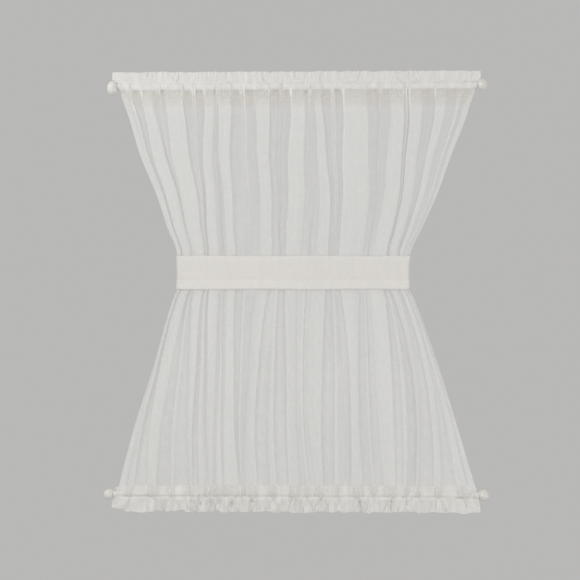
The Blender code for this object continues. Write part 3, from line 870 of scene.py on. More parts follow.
@dataclass
class Drape:
    """The section of the panel at any height: its folds as one smooth line with fixed columns.

    flat_step is a column's width in flat cloth, and turn_columns how many columns each half of a
    turned edge has. margin is the space beside a fold, gap_step the distance of the control points
    between folds, and turn how far those of an edge overlap to round it. bend_depth, inner_depth and
    end_depth are shares of a fold's depth in its turns, in its middle and by the side edges. handover
    is where the lines over the band give way to those under it, and end_reach how far in the cloth
    follows its side edges.
    """

    flat_step: float = 0.0041
    turn_columns: int = 3
    margin: float = 0.0012
    gap_step: float = 0.020
    turn: float = 0.0010
    bend_depth: float = 0.55
    inner_depth: float = 0.06
    end_depth: float = 0.15
    handover: tuple = (-0.385, -0.455)
    side_margin: float = 0.0015
    blur_samples: int = 30
    end_reach: float = 0.075
    even_flat: np.ndarray = field(default_factory=lambda: np.linspace(0.0, FLAT_WIDTH, 1501))
    curves: list = field(init=False)
    gaps: list = field(init=False)
    anchors: list = field(init=False)
    weights: np.ndarray = field(init=False)
    slopes: np.ndarray = field(init=False)
    flat: np.ndarray = field(init=False)
    flat_controls: np.ndarray = field(init=False)

    def __post_init__(self) -> None:
        """Lays out the control points and the columns between them."""
        self.curves = [self.fold_curve(fold) for fold in FOLDS]
        self.gaps = self.gap_counts()
        self.anchors, index = [0], 2
        for count in self.gaps:
            self.anchors.append(index + count // 2 - 1)
            index += count + FOLD_POINTS
        total = len(self.controls(LEVEL_Z[Level.HIGH])[0])
        self.anchors.append(total - 1)
        lengths = np.zeros(total - 1)
        for level in (Level.HIGH, Level.UPPER, Level.LOWER, Level.LOW):
            x, y = self.controls(LEVEL_Z[level])
            lengths += np.hypot(np.diff(x), np.diff(y)) / 4
        scale = FLAT_WIDTH / lengths.sum()
        self.flat_controls = np.concatenate([[0.0], np.cumsum(lengths)]) * scale
        counts = np.maximum(1, np.round(lengths * scale / self.flat_step)).astype(int)
        for turns in self.turn_points():
            for turn in turns:
                counts[turn - 1:turn + 1] = self.turn_columns
        self.weights, self.slopes = self.spline_weights(counts)
        self.flat = self.weights @ self.flat_controls

    def turn_points(self) -> list:
        """The control points in the middle of each fold's two turned edges.

        Returns:
            The numbers of the two points of each fold.
        """
        found, index = [], 0
        for count in self.gaps[:-1]:
            index += count
            found.append((index + 3, index + 7))
            index += FOLD_POINTS
        return found

    def edges(self, z: float) -> tuple:
        """The x of the left and right side edges at a height."""
        left, right = hermite(SIDE_Z, SIDE_EDGES, np.array([z]))[0]
        return float(left), float(right)

    def fold_curve(self, fold: Fold) -> tuple:
        """The smooth lines that a fold's centre and width follow over and under the band.

        Args:
            fold: The fold.

        Returns:
            Two sets of polynomial factors, for the part over the band and the part under it.
        """
        marks = np.array(fold.marks) / 1000
        marks[:, 0] -= self.follow(fold, np.array(LEVEL_Z))
        above, below = slice(None, Level.WAIST + 1), slice(Level.WAIST, None)
        over = np.polyfit(LEVEL_Z[above], marks[above], 2, w=OVER_TRUST)
        under = np.polyfit(LEVEL_Z[below], marks[below], 2, w=UNDER_TRUST)
        return over, under

    def follow(self, fold: Fold, z: np.ndarray) -> np.ndarray:
        """The line that a fold would take if it only kept its share of the panel's width.

        Args:
            fold: The fold.
            z: The heights.

        Returns:
            Its x at each height.
        """
        left, right = self.edges(LEVEL_Z[Level.UPPER])
        share = (fold.marks[Level.UPPER][0] / 1000 - left) / (right - left)
        edges = hermite(SIDE_Z, SIDE_EDGES, z)
        return edges[:, 0] + share * (edges[:, 1] - edges[:, 0])

    def folds(self, z: float) -> list:
        """Centre, width, depth and side of each fold at a height.

        Args:
            z: The height.

        Returns:
            One (centre, width, depth, side) for each fold, from left to right.
        """
        depth = float(hermite(LEVEL_Z, np.array(LEVEL_DEPTH), np.array([z]))[0, 0])
        under_share = smooth_step(*self.handover, z)
        found = []
        for fold, (over, under) in zip(FOLDS, self.curves):
            powers = np.array([z * z, z, 1.0])
            centre, width = (1 - under_share) * powers @ over + under_share * powers @ under
            centre += self.follow(fold, np.array([z]))[0]
            found.append((float(centre), float(width), depth * fold.relief, fold.faces.value))
        return found

    def gap_counts(self) -> list:
        """How many control points each single-layer stretch has.

        Returns:
            One number for each stretch, from left to right.
        """
        counts = [2] * (len(FOLDS) + 1)
        for level in (Level.HIGH, Level.LOW):
            left, right = self.edges(LEVEL_Z[level])
            folds = self.folds(LEVEL_Z[level])
            starts = [left] + [centre + abs(width) / 2 for centre, width, _, _ in folds]
            ends = [centre - abs(width) / 2 for centre, width, _, _ in folds] + [right]
            counts = [max(n, 1 + round((b - a) / self.gap_step)) for n, a, b in zip(counts, starts, ends)]
        return counts

    def controls(self, z: float) -> tuple:
        """The control points of the section at a height.

        Args:
            z: The height.

        Returns:
            Their x, and their y from the middle of the cloth.
        """
        left, right = self.edges(z)
        folds = self.folds(z)
        x, y = [left], [0.0]
        start = (left + self.side_margin, self.end_depth * folds[0][3] * folds[0][2])
        for index, count in enumerate(self.gaps):
            if index < len(folds):
                centre, width, depth, side = folds[index]
                reach = abs(width) / 2 + self.margin
                end = (centre - reach, side * depth)
            else:
                end = (right - self.side_margin, start[1] * self.end_depth)
            for step in range(count):
                share = step / (count - 1)
                x.append(start[0] + share * (end[0] - start[0]))
                y.append(start[1] + ease(share) * (end[1] - start[1]))
            if index == len(folds):
                break
            turn = self.turn if width > 0 else 0.0
            first, second = centre + width / 2, centre - width / 2
            x += [(end[0] + first) / 2, first - turn, first + turn, first - turn,
                  centre, second + turn, second - turn, second + turn, (second + centre + reach) / 2]
            out = side * depth
            before = [out, out, out * self.bend_depth, out * self.inner_depth]
            y += before + [0.0] + [-value for value in reversed(before)]
            start = (centre + reach, -side * depth)
        x.append(right)
        y.append(0.0)
        return np.array(x), np.array(y)

    def spline_weights(self, counts: np.ndarray) -> tuple:
        """The weights of a cubic B-spline that starts and ends on its end points.

        Args:
            counts: How many columns lie in each interval between control points.

        Returns:
            Two matrices with a row for each column of the cloth, for its place and its direction.
        """
        total = len(counts) + 1
        rows, slopes = [], []
        for interval, count in enumerate(counts):
            last = interval == len(counts) - 1
            for step in range(count + (1 if last else 0)):
                t = step / count
                place = (
                    (1 - t) ** 3 / 6, (3 * t**3 - 6 * t * t + 4) / 6,
                    (-3 * t**3 + 3 * t * t + 3 * t + 1) / 6, t**3 / 6,
                )
                slope = (
                    -((1 - t) ** 2) / 2, (3 * t * t - 4 * t) / 2,
                    (-3 * t * t + 2 * t + 1) / 2, t * t / 2,
                )
                for basis, found in ((place, rows), (slope, slopes)):
                    row = np.zeros(total)
                    for index, weight in zip(range(interval - 1, interval + 3), basis):
                        if index < 0:
                            row[0] += 2 * weight
                            row[1] -= weight
                        elif index >= total:
                            row[total - 1] += 2 * weight
                            row[total - 2] -= weight
                        else:
                            row[index] += weight
                    found.append(row)
        return np.array(rows), np.array(slopes)

    def gathered(self, x: np.ndarray) -> np.ndarray:
        """Where the cloth lies if each fold's share of it is spread in small gathers in its own place.

        Args:
            x: The x of the control points.

        Returns:
            The x of evenly spaced places in the flat cloth.
        """
        spread = np.interp(self.even_flat, self.flat_controls[self.anchors], x[self.anchors])
        reach = self.blur_samples
        before = 2 * spread[0] - spread[reach:0:-1]
        after = 2 * spread[-1] - spread[-2:-reach - 2:-1]
        kernel = np.hanning(2 * reach + 1)
        return np.convolve(np.concatenate([before, spread, after]), kernel / kernel.sum(), mode="valid")

    def line(self, z: float, pleated: float, relief: float, ends: tuple) -> tuple:
        """The columns of the section at a height, between evenly gathered and fully pleated.

        Args:
            z: The height that the folds are read at.
            pleated: 1 where the folds lie flat, 0 where the cloth is evenly gathered.
            relief: How far the layers stand apart, as a share of their full depth.
            ends: The x of the two side edges there, which only the cloth near them follows.

        Returns:
            The columns' points and their unit normals, in x and y, the normals towards the back.
        """
        x, y = self.controls(z)
        section = np.stack([x, y * relief], axis=1)
        points, along = self.weights @ section, self.slopes @ section
        natural = (points[0, 0], points[-1, 0])
        if pleated < 1:
            spread = self.gathered(x)
            width = natural[1] - natural[0]
            spread = natural[0] + (spread - spread[0]) / (spread[-1] - spread[0]) * width
            even = np.interp(self.flat, self.even_flat, spread)
            rate = np.interp(self.flat, self.even_flat, np.gradient(spread, self.even_flat))
            rate = rate * (self.slopes @ self.flat_controls)
            points[:, 0] = even + pleated * (points[:, 0] - even)
            along[:, 0] = rate + pleated * (along[:, 0] - rate)
        for inner, outer, sign in zip(natural, ends, (1, -1)):
            share = np.clip(1 - sign * (points[:, 0] - inner) / self.end_reach, 0, 1)
            points[:, 0] += (outer - inner) * ease(share)
        return points, unit(np.stack([-along[:, 1], along[:, 0]], axis=1))


@dataclass(frozen=True)
class Ripple:
    """One set of gathers: its wavelength in flat cloth, its share and how far it leans with height."""

    length: float
    share: float
    start: float
    lean: float
    wander: float


POCKET_RIPPLES = (
    Ripple(0.0150, 0.50, 0.4, 40.0, 2.2),
    Ripple(0.0250, 0.50, 2.1, -70.0, 3.0),
)
STREAKS = (
    Ripple(0.0165, 0.34, 0.9, 0.6, 5.0),
    Ripple(0.0270, 0.33, 2.2, -0.9, 6.0),
    Ripple(0.0105, 0.33, 0.3, 1.1, 7.0),
)
SWELLS = (
    Ripple(0.1900, 0.40, 0.2, 1.4, 0.8),
    Ripple(0.0820, 0.36, 1.5, -2.0, 1.2),
    Ripple(0.0470, 0.24, 2.9, 2.2, 1.8),
)
CRIMP_RIPPLES = (
    Ripple(0.0270, 0.40, 1.3, 95.0, 3.2),
    Ripple(0.0450, 0.44, 0.2, -120.0, 3.8),
    Ripple(0.0165, 0.16, 3.0, 60.0, 2.5),
)
EDGE_RIPPLES = (
    Ripple(0.1050, 0.50, 0.5, 0.0, 2.4),
    Ripple(0.0560, 0.34, 2.8, 0.0, 2.8),
    Ripple(0.0330, 0.16, 1.6, 0.0, 3.0),
)
RUFFLE_RIPPLES = (
    Ripple(0.0560, 0.34, 0.8, -55.0, 1.5),
    Ripple(0.0340, 0.38, 2.6, 90.0, 2.2),
    Ripple(0.0195, 0.28, 1.9, -120.0, 3.0),
)
SEWN_MARKS = (
    Ripple(0.0150, 0.50, 1.2, 25.0, 4.0),
    Ripple(0.0098, 0.50, 0.1, -30.0, 5.0),
)


@dataclass(frozen=True)
class CreaseShadow:
    """A painted shadow line under the lower rod at one place: its rise over the rod's axis and how deep its
    tone is.
    """

    x: float
    rise: float
    depth: float


# Painted shadow: where the thin shade line under the lower rod is drawn and how dark it is, darkest at the
# right end.
CREASE_SHADOWS = (
    CreaseShadow(-0.400, -0.0030, 0.85),
    CreaseShadow(-0.364, -0.0026, 0.80),
    CreaseShadow(-0.286, -0.0016, 0.35),
    CreaseShadow(-0.185, -0.0016, 0.20),
    CreaseShadow(-0.062, -0.0020, 0.45),
    CreaseShadow(0.062, -0.0026, 0.05),
    CreaseShadow(0.174, -0.0034, 0.50),
    CreaseShadow(0.279, -0.0042, 0.90),
    CreaseShadow(0.325, -0.0048, 1.3),
    CreaseShadow(0.352, -0.0056, 4.2),
    CreaseShadow(0.400, -0.0056, 4.2),
)


@dataclass(frozen=True)
class Notch:
    """A short rise in the ruffle's edge between two lobes, or with a depth under zero a dip."""

    x: float
    depth: float = 0.0036
    width: float = 0.0065


RUFFLE_NOTCHES = (
    *(Notch(x) for x in (-0.312, -0.261, -0.178, -0.073, 0.095, 0.236)), Notch(0.373, -0.0040, 0.009),
)
BODY_RIPPLES = (
    Ripple(0.0170, 0.42, 0.4, 1.2, 2.2),
    Ripple(0.0290, 0.36, 2.1, -1.6, 3.0),
    Ripple(0.0118, 0.22, 1.1, 0.8, 3.6),
)
HEADER_SEAM, POCKET_SEAM = 0.0096, -0.0250
FOOT_SEAM, RUFFLE_SEAM = 0.0176, -0.0074
BODY_TOP, BODY_FOOT = -0.025, -0.899
LAYER_BINS = 360
LAYER_BLUR = (0.14, 0.23, 0.26, 0.23, 0.14)
FOLDS_TOP, FOLDS_FOOT = -0.046, -0.872
BAND_TOP, BAND_FOOT = -0.379, -0.4575
BAND_MIDDLE, BAND_HALF = -0.4187, 0.037
QUARTER_TURN = math.pi / 2


@dataclass(frozen=True)
class Pocket:
    """One rod's pocket with its header or ruffle.

    The rod's axis rises from start by climb over its length, because it isn't quite level, and
    middle is the height that the cloth's section is read at. way is 1 where the body hangs under the
    rod and -1 where it stands over it. kept and lost are how far the folds stay flat beyond the rod
    and how much of that goes by the outer edge, opens is where they begin to gather, swing is how
    far the crinkles lean sideways, and ripples are their shape.
    """

    left: float
    length: float
    start: float
    climb: float
    middle: float
    way: float
    kept: float
    lost: float
    opens: float
    swing: float
    ripples: tuple

    def height(self, x: np.ndarray) -> np.ndarray:
        """Height of the rod's axis along the curtain."""
        return self.start + (x - self.left) / self.length * self.climb

    def pleated(self, rise: float) -> float:
        """How far the folds lie flat at a rise over the rod, from 0, evenly gathered, to 1.

        Args:
            rise: The rise.

        Returns:
            The share.
        """
        inward = -self.way * rise
        kept = self.kept - self.lost * smooth_step(-0.008, -0.030, inward)
        return kept + (1 - kept) * smooth_step(self.opens, -0.001, inward)


UPPER_POCKET = Pocket(
    left=-0.4136, length=0.8266, start=-0.0022, climb=0.0044, middle=0.0, way=1.0,
    kept=0.27, lost=0.15, opens=-0.0105, swing=0.35, ripples=CRIMP_RIPPLES,
)
LOWER_POCKET = Pocket(
    left=-0.4222, length=0.8387, start=-0.9150, climb=-0.0027, middle=-0.9164, way=-1.0,
    kept=0.40, lost=0.28, opens=-0.0095, swing=0.85, ripples=RUFFLE_RIPPLES,
)


def gathers(flat: np.ndarray, height: float, ripples: tuple, ahead: float = 0.0) -> np.ndarray:
    """The gathers across the cloth at a height, from about -1 to 1.

    Args:
        flat: Each column's place across the flat cloth.
        height: The height, which the leaning ripples follow.
        ripples: The sets of gathers to add up.
        ahead: An angle that every ripple is moved on by.

    Returns:
        One value for each column.
    """
    # The frequencies below share no common measure, so that no two stretches look alike.
    total = np.zeros_like(flat)
    for ripple in ripples:
        drift = np.sin(flat * 17.0 + ripple.start * 3)
        drift = drift + 0.6 * np.sin(flat * 41.0 + ripple.start * 7 + height * 5)
        phase = 2 * math.pi * flat / ripple.length + ripple.start + ripple.wander * drift
        phase += ripple.lean * height * (1 + 0.5 * np.sin(flat * 29.0 + ripple.start))
        swell = 0.75 + 0.25 * np.sin(flat * 53.0 + ripple.start * 11)
        total += ripple.share * swell * np.sin(phase + ahead)
    return total


@dataclass(frozen=True)
class Veil:
    """How the hanging cloth looks at one height.

    cover is its share of thread against the plain cloth's, even is how far the layers of a fold
    blend into the cloth beside them, and edge is how much the rolled edges of the folds stand out.
    """

    z: float
    cover: float
    even: float
    edge: float


VEILS = (
    Veil(-0.045, 1.00, 0.08, 1.0),
    Veil(-0.080, 1.02, 0.30, 0.75),
    Veil(-0.240, 1.09, 0.38, 0.50),
    Veil(-0.350, 1.28, 0.56, 0.20),
    Veil(-0.480, 1.46, 0.62, 0.0),
    Veil(-0.640, 1.62, 0.62, 0.0),
    Veil(-0.860, 1.44, 0.60, 0.02),
)


def veil_at(z: float) -> Veil:
    """How the hanging cloth looks at any height."""
    looks = np.array([(veil.cover, veil.even, veil.edge) for veil in VEILS])
    return Veil(z, *hermite(tuple(veil.z for veil in VEILS), looks, np.array([z]))[0].tolist())


@dataclass(frozen=True)
class Hand:
    """How the cloth of one line looks.

    stiff is how much of its shape shows in its shading, doubled is how far it has the deeper
    tone of cloth lying over its own hem, which under the lower rod and in the ruffle also stands for
    painted shade, and cover is its share of thread against the plain cloth's; the last two may be one
    number or one for each column. lying is how much of the deeper tone is lost where folds lie over
    each other, streak and broad are how uneven its fine gathers and its wide swells make it, and sewn
    tells the cloth of a pocket, header or ruffle.
    """

    stiff: float = 0.0
    doubled: float | np.ndarray = 0.0
    cover: float | np.ndarray = 1.0
    lying: float = 0.2
    streak: float = 0.15
    sewn: bool = False
    broad: float = 0.0


@dataclass
class Row:
    """One line of the panel's cloth from side edge to side edge."""

    points: np.ndarray
    run: float
    hand: Hand

    @property
    def body(self) -> bool:
        """Whether the line hangs in the open, between the two pockets."""
        return -0.89 < self.points[0, 2] < -0.026 and self.run > 0.1


@dataclass(frozen=True)
class Fade:
    """Something that dies away from a seam or from the band, by its height there and its length."""

    height: float
    length: float

    def at(self, away: float) -> float:
        """How much of it is left at a distance."""
        return self.height * math.exp(-max(0.0, away) / self.length)


@dataclass
class Panel:
    """The voile panel: header, pockets, body and ruffle as one sheet.

    belly is how far a pocket's gathers stand out, and behind how far those of its back layer are
    moved. The four pairs of ends are the x of the side edges at the header, at the ruffle and behind
    the rods. side_hem is a side hem's width, hem_lift its distance behind the panel and hem_gather
    its fullness. nose is how far a cradle reaches ahead of the rod's axis. swing_end and swing_blend
    keep the crinkles' sideways lean off the side edges, and pressed is the depth that pressed folds
    keep. header_wave and lobe are the heights of the waves in the outer edges. The body has
    plain_gathers, lower_gathers under the band and what fades from each seam and from the band, and
    under the band itself band_hold of them. levelled is how far from a rod the body follows its
    slope. The row values set the distance of the lines, and the last five before body_from how dense
    steep, leaning, doubled and sewn cloth looks.
    """

    palette: Palette
    drape: Drape
    belly: float = 0.0015
    header_ends: tuple = (-0.4145, 0.4100)
    ruffle_ends: tuple = (-0.4160, 0.4100)
    upper_ends: tuple = (-0.3955, 0.3978)
    lower_ends: tuple = (-0.4067, 0.4012)
    side_hem: float = 0.012
    hem_lift: float = 0.00035
    hem_gather: float = 0.8
    edge_roll: float = 0.0026
    nose: float = 0.0104
    nose_length: float = 0.0035
    nose_blend: float = 0.014
    swing_end: float = 0.004
    swing_blend: float = 0.05
    pressed: float = 0.16
    behind: float = 0.004
    header_length: float = 0.022
    header_wave: float = 0.0016
    ruffle_from: float = -0.0076
    ruffle_length: float = 0.0316
    lobe: float = 0.0032
    plain_gathers: float = 0.00022
    lower_gathers: float = 0.00030
    band_hold: float = 0.55
    top_gathers: Fade = Fade(0.0010, 0.045)
    foot_gathers: Fade = Fade(0.0010, 0.060)
    band_gathers: Fade = Fade(0.00055, 0.050)
    drawn_in: Fade = Fade(0.0009, 0.02)
    levelled: float = 0.15
    row_step: float = 0.0045
    row_growth: float = 0.145
    row_spread: float = 0.0150
    steepest: float = 0.30
    lean_most: float = 2.2
    doubled_pinch: float = 1.9
    sewn_pinch: float = 0.2
    sewn_most: float = 1.8
    body_from: float = -0.0264
    body_to: float = -0.8960
    series: float = 1.12
    rows: list = field(default_factory=list)

    def ends_at(self, z: float, front: bool = True) -> tuple:
        """The side edges of the cloth at a nominal height.

        Args:
            z: The height.
            front: Whether it is the front layer, which reaches in front of the cradles to the knobs.

        Returns:
            Their x.
        """
        if -0.8985 < z < BODY_TOP:
            return self.drape.edges(z)
        if z > -0.5:
            table = [
                (0.0330, self.header_ends), (0.0145, (-0.4145, 0.4096)), (0.0125, (-0.4112, 0.4074)),
                (0.0107, (-0.4066, 0.4058)), (0.0092, (-0.4045, 0.4038)), (0.0078, (-0.4026, 0.4024)),
            ]
            if front:
                table += [(0.0058, (-0.4003, 0.4006)), (-0.0060, (-0.4000, 0.4004))]
                table += [(-0.0100, (-0.3962, 0.3980))]
            else:
                table += [(0.0058, (-0.3985, 0.4000)), (0.0030, self.upper_ends), (-0.0040, self.upper_ends)]
            table.append((BODY_TOP, (-0.3935, 0.3935)))
        else:
            table = [(-0.8985, (-0.3998, 0.3985))]
            if front:
                table += [(-0.9090, (-0.4050, 0.4004)), (-0.9140, (-0.4094, 0.4041))]
                table += [(-0.9225, (-0.4096, 0.4043))]
            else:
                table += [(-0.9140, self.lower_ends), (-0.9245, self.lower_ends)]
            table += [(-0.9360, (-0.4150, 0.4075)), (-0.9560, self.ruffle_ends)]
        heights, edges = zip(*table)
        left, right = hermite(heights, np.array(edges), np.array([z]))[0]
        return float(left), float(right)

    def past_nose(self, x: np.ndarray, rise: float, ends: tuple) -> np.ndarray:
        """How far the front layer must stand ahead of the rod's axis to pass in front of the cradles.

        Args:
            x: The columns' places.
            rise: The height over the rod's axis.
            ends: The x of the two side edges there.

        Returns:
            One distance for each column.
        """
        need = math.sqrt(max(0.0, self.nose**2 - min(rise, 0.0) ** 2))
        need *= 1 - smooth_step(0.0020, 0.0078, rise)
        away = np.minimum(x - ends[0], ends[1] - x)
        return need * ease(np.clip(1.0 - (away - self.nose_length) / self.nose_blend, 0, 1))

    def tucked(self, tuck: Tuck, pocket: Pocket, side: float) -> np.ndarray:
        """A line across a pocket, header or ruffle.

        Args:
            tuck: Its sizes.
            pocket: The pocket that it belongs to.
            side: -1 for the front layer, 1 for the back layer.

        Returns:
            Its points.
        """
        z = pocket.middle + tuck.rise
        opened = smooth_step(0.018, 0.085, -pocket.way * tuck.rise)
        ends = self.ends_at(z, side < 0)
        line, normals = self.section(z, pocket.pleated(tuck.rise), opened, ends)
        flat = self.drape.flat
        free = self.flat_end(line[:, 0])
        crimp = tuck.crimp * gathers(flat, tuck.rise, pocket.ripples) * free
        swing = tuck.crimp * pocket.swing * gathers(flat, tuck.rise, pocket.ripples, QUARTER_TURN) * free
        for inside in (flat - self.swing_end, FLAT_WIDTH - self.swing_end - flat):
            swing = swing * np.clip(inside / self.swing_blend, 0, 1)
        line[:, 0] += swing
        swell = 0.0
        if tuck.belly:
            moved = flat + (self.behind if side > 0 else 0.0)
            swell = self.belly * tuck.belly * (1 + gathers(moved, tuck.rise, POCKET_RIPPLES))
        shift = side * (tuck.gap + swell) + crimp
        points = line + normals * np.asarray(shift)[:, None]
        points[:, 1] -= tuck.ahead
        if side < 0:
            points[:, 1] = np.minimum(points[:, 1], -self.past_nose(points[:, 0], tuck.rise, ends))
        height = pocket.height(points[:, 0]) + tuck.rise + self.waved(points[:, 0], tuck.rise, pocket)
        return np.stack([points[:, 0], ROD_PLANE_Y + points[:, 1], height], axis=1)

    def section(self, z: float, pleated: float, opened: float, ends: tuple) -> tuple:
        """The middle of the cloth across the panel, from the nearest height that has folds.

        Args:
            z: The nominal height.
            pleated: 1 where the folds lie flat, 0 where the cloth is evenly gathered.
            opened: How far the layers of the folds stand apart, from 0, pressed, to 1.
            ends: The x of the two side edges there.

        Returns:
            The columns' points and their unit normals, in x and y.
        """
        level = min(FOLDS_TOP, max(FOLDS_FOOT, z))
        return self.drape.line(level, pleated, self.pressed + (1 - self.pressed) * opened, ends)

    def waved(self, x: np.ndarray, rise: float, pocket: Pocket) -> np.ndarray:
        """How far the header and the ruffle rise and dip, most at their outer edges.

        Args:
            x: The columns' places.
            rise: The height over the rod's axis.
            pocket: The pocket that they belong to.

        Returns:
            One height for each column.
        """
        flat = self.drape.flat
        if pocket is UPPER_POCKET:
            share = max(0.0, rise - HEADER_SEAM) / self.header_length
            return share * self.header_wave * gathers(flat, 0.0, EDGE_RIPPLES)
        share = max(0.0, self.ruffle_from - rise) / self.ruffle_length
        dip = self.lobe * gathers(flat + 0.009, 0.0, EDGE_RIPPLES)
        for notch in RUFFLE_NOTCHES:
            dip += notch.depth * hump(x, notch.x, notch.width)
        dip += 0.0085 * np.clip((-0.385 - x) / 0.03, 0, 1)
        return share * share * dip * (0.4 + 0.6 * self.flat_end(x))

    def flat_end(self, x: np.ndarray) -> np.ndarray:
        """1 along the cloth and less near the right end, where header and ruffle lie nearly flat."""
        return 1.0 - 0.75 * np.clip((x - 0.345) / 0.02, 0, 1) * np.clip((0.42 - x) / 0.02, 0, 1)

    def hanging(self, z: float) -> np.ndarray:
        """A line across the body of the panel at a nominal height.

        Args:
            z: The height.

        Returns:
            Its points, one for each column.
        """
        near_top, near_foot = BODY_TOP - z, z - BODY_FOOT
        opened = min(smooth_step(-0.007, 0.060, near_top), smooth_step(-0.0005, 0.0665, near_foot))
        line, normals = self.section(z, 1.0, opened, self.ends_at(z))
        from_band = abs(z - BAND_MIDDLE) - BAND_HALF
        size = self.plain_gathers + self.top_gathers.at(near_top) + self.foot_gathers.at(near_foot)
        size += self.band_gathers.at(from_band) + self.lower_gathers * smooth_step(-0.47, -0.60, z)
        size *= self.band_hold if from_band < 0 else 1.0
        shift = size * gathers(self.drape.flat, z, BODY_RIPPLES) - self.drawn_in.at(min(near_top, near_foot))
        points = line + normals * shift[:, None]
        height = z + UPPER_POCKET.height(points[:, 0]) * max(0.0, 1 - near_top / self.levelled)
        lower = LOWER_POCKET.height(points[:, 0]) - LOWER_POCKET.middle
        height = height + lower * max(0.0, 1 - near_foot / self.levelled)
        return np.stack([points[:, 0], ROD_PLANE_Y + points[:, 1], height], axis=1)

    def tuck_series(self, tucks: tuple) -> list:
        """A table of tucks read smoothly, at a few more lines than it has.

        Args:
            tucks: The table.

        Returns:
            The tucks.
        """
        knots = tuple(float(index) for index in range(len(tucks)))
        table = np.array([(tuck.rise, tuck.gap, tuck.belly, tuck.crimp, tuck.ahead) for tuck in tucks])
        at = np.linspace(0, len(tucks) - 1, round(self.series * len(tucks)))
        return [Tuck(*row) for row in hermite(knots, table, at).tolist()]

    def body_heights(self) -> list:
        """The heights of the lines of the body, closer together near the pockets and the band.

        Returns:
            The heights, from the top down.
        """
        z, heights = self.body_from, []
        while z > self.body_to:
            heights.append(z)
            near = min(abs(z - place) for place in (BODY_TOP, BODY_FOOT, BAND_TOP, BAND_FOOT))
            z -= self.row_step + min(self.row_spread, near * self.row_growth)
        return heights

    def add(self, points: np.ndarray, hand: Hand) -> None:
        """Appends a line of the cloth, with the length run from the one before it.

        Args:
            points: The line.
            hand: How its cloth looks.
        """
        run = 0.0
        if self.rows:
            last = self.rows[-1]
            run = last.run + float(np.median(np.linalg.norm(points - last.points, axis=1)))
        self.rows.append(Row(points, run, hand))

    def lay_rows(self) -> None:
        """Lays every line of the sheet, from the hem behind the upper rod to the one behind the lower rod."""
        upper = self.tuck_series(UPPER_TUCKS)
        lower = self.tuck_series(LOWER_TUCKS)
        for tuck in upper:
            self.add(self.tucked(tuck, UPPER_POCKET, 1.0), self.upper_hand(tuck.rise, front=False))
        for tuck in reversed(upper[:-1]):
            if tuck.rise > POCKET_SEAM - 0.0005:
                self.add(self.tucked(tuck, UPPER_POCKET, -1.0), self.upper_hand(tuck.rise, front=True))
        for z in self.body_heights():
            self.add(self.hanging(z), self.body_hand(z))
        for tuck in lower:
            self.add(self.tucked(tuck, LOWER_POCKET, -1.0), self.lower_hand(tuck.rise))
        for tuck in reversed(lower[:-1]):
            self.add(self.tucked(tuck, LOWER_POCKET, 1.0), Hand(0.8, 0.4, 1.0, sewn=True))

    def upper_hand(self, rise: float, front: bool) -> Hand:
        """How the cloth looks at a rise over the upper rod: hem, pocket or header.

        Args:
            rise: The rise.
            front: Whether it is the front layer.

        Returns:
            Its look.
        """
        over = smooth_step(-0.0106, -0.0078, rise)
        header = smooth_step(-0.0010, 0.0065, rise)
        lying, sewn = 0.62 - 0.42 * over, over > 0.3
        bend = hump(rise, 0.0072, 0.0026)
        if not front:
            return Hand(0.8 - 0.5 * bend, 0.9 - 0.8 * over, 0.60 + 0.9 * over - 0.5 * bend, lying, 0.26, sewn)
        stitched = 0.8 * hump(rise, POCKET_SEAM, 0.0006)
        # Along the groove over the rod, bend makes the front layer denser and whiter: a painted lightening of
        # the groove's shade.
        cover = (1.04 + stitched) * (1 - over) + 2.3 * over - 0.80 * header + 0.8 * bend
        stiff = 0.9 - 0.9 * over + 0.36 * header
        doubled = 1.0 - 0.9 * over + 0.1 * header
        return Hand(stiff, doubled, cover, lying, 0.26, sewn or stitched > 0.4)

    def body_hand(self, z: float) -> Hand:
        """How the hanging cloth looks at a height, deeper in tone over the turned hems.

        Args:
            z: The height.

        Returns:
            Its look.
        """
        top, foot = smooth_step(-0.0455, -0.0395, z), smooth_step(-0.884, -0.897, z)
        return Hand(
            stiff=0.9 * smooth_step(-0.046, -0.028, z) + 0.5 * foot,
            doubled=0.85 * top + 0.1 * foot,
            cover=veil_at(z).cover - 0.10 * top + 0.05 * foot,
            lying=0.2 + 0.4 * top,
            streak=0.13 - 0.09 * smooth_step(-0.15, -0.45, z),
            broad=0.08 + 0.24 * smooth_step(-0.30, -0.48, z),
        )

    def lower_hand(self, rise: float) -> Hand:
        """How the front layer looks at a rise over the lower rod: pocket, crease or ruffle, with painted shade.

        Args:
            rise: The rise.

        Returns:
            Its look, with a tone and a cover for each column; the tone holds painted shadow and painted
            shading.
        """
        flat = self.drape.flat
        x = self.rows[-1].points[:, 0]
        # Painted shadow: a thin line under the lower rod, deeper in tone and thinner in cover.
        table = np.array([(crease.rise, crease.depth) for crease in CREASE_SHADOWS])
        centre, depth = (np.interp(x, [crease.x for crease in CREASE_SHADOWS], column) for column in table.T)
        depth = depth * np.clip(0.75 + 0.9 * gathers(flat, 0.0, POCKET_RIPPLES), 0, 1)
        line = depth * hump(rise, centre, 0.0017)
        ruffle = smooth_step(-0.0064, -0.0100, rise)
        valley, under = hump(rise, RUFFLE_SEAM, 0.0012), hump(rise, -0.0058, 0.0024)
        stitches = 0.55 * hump(rise, FOOT_SEAM, 0.0007)
        hem = stitches * np.clip(0.5 + 1.2 * gathers(flat, 0.3, STREAKS), 0, 1.2)
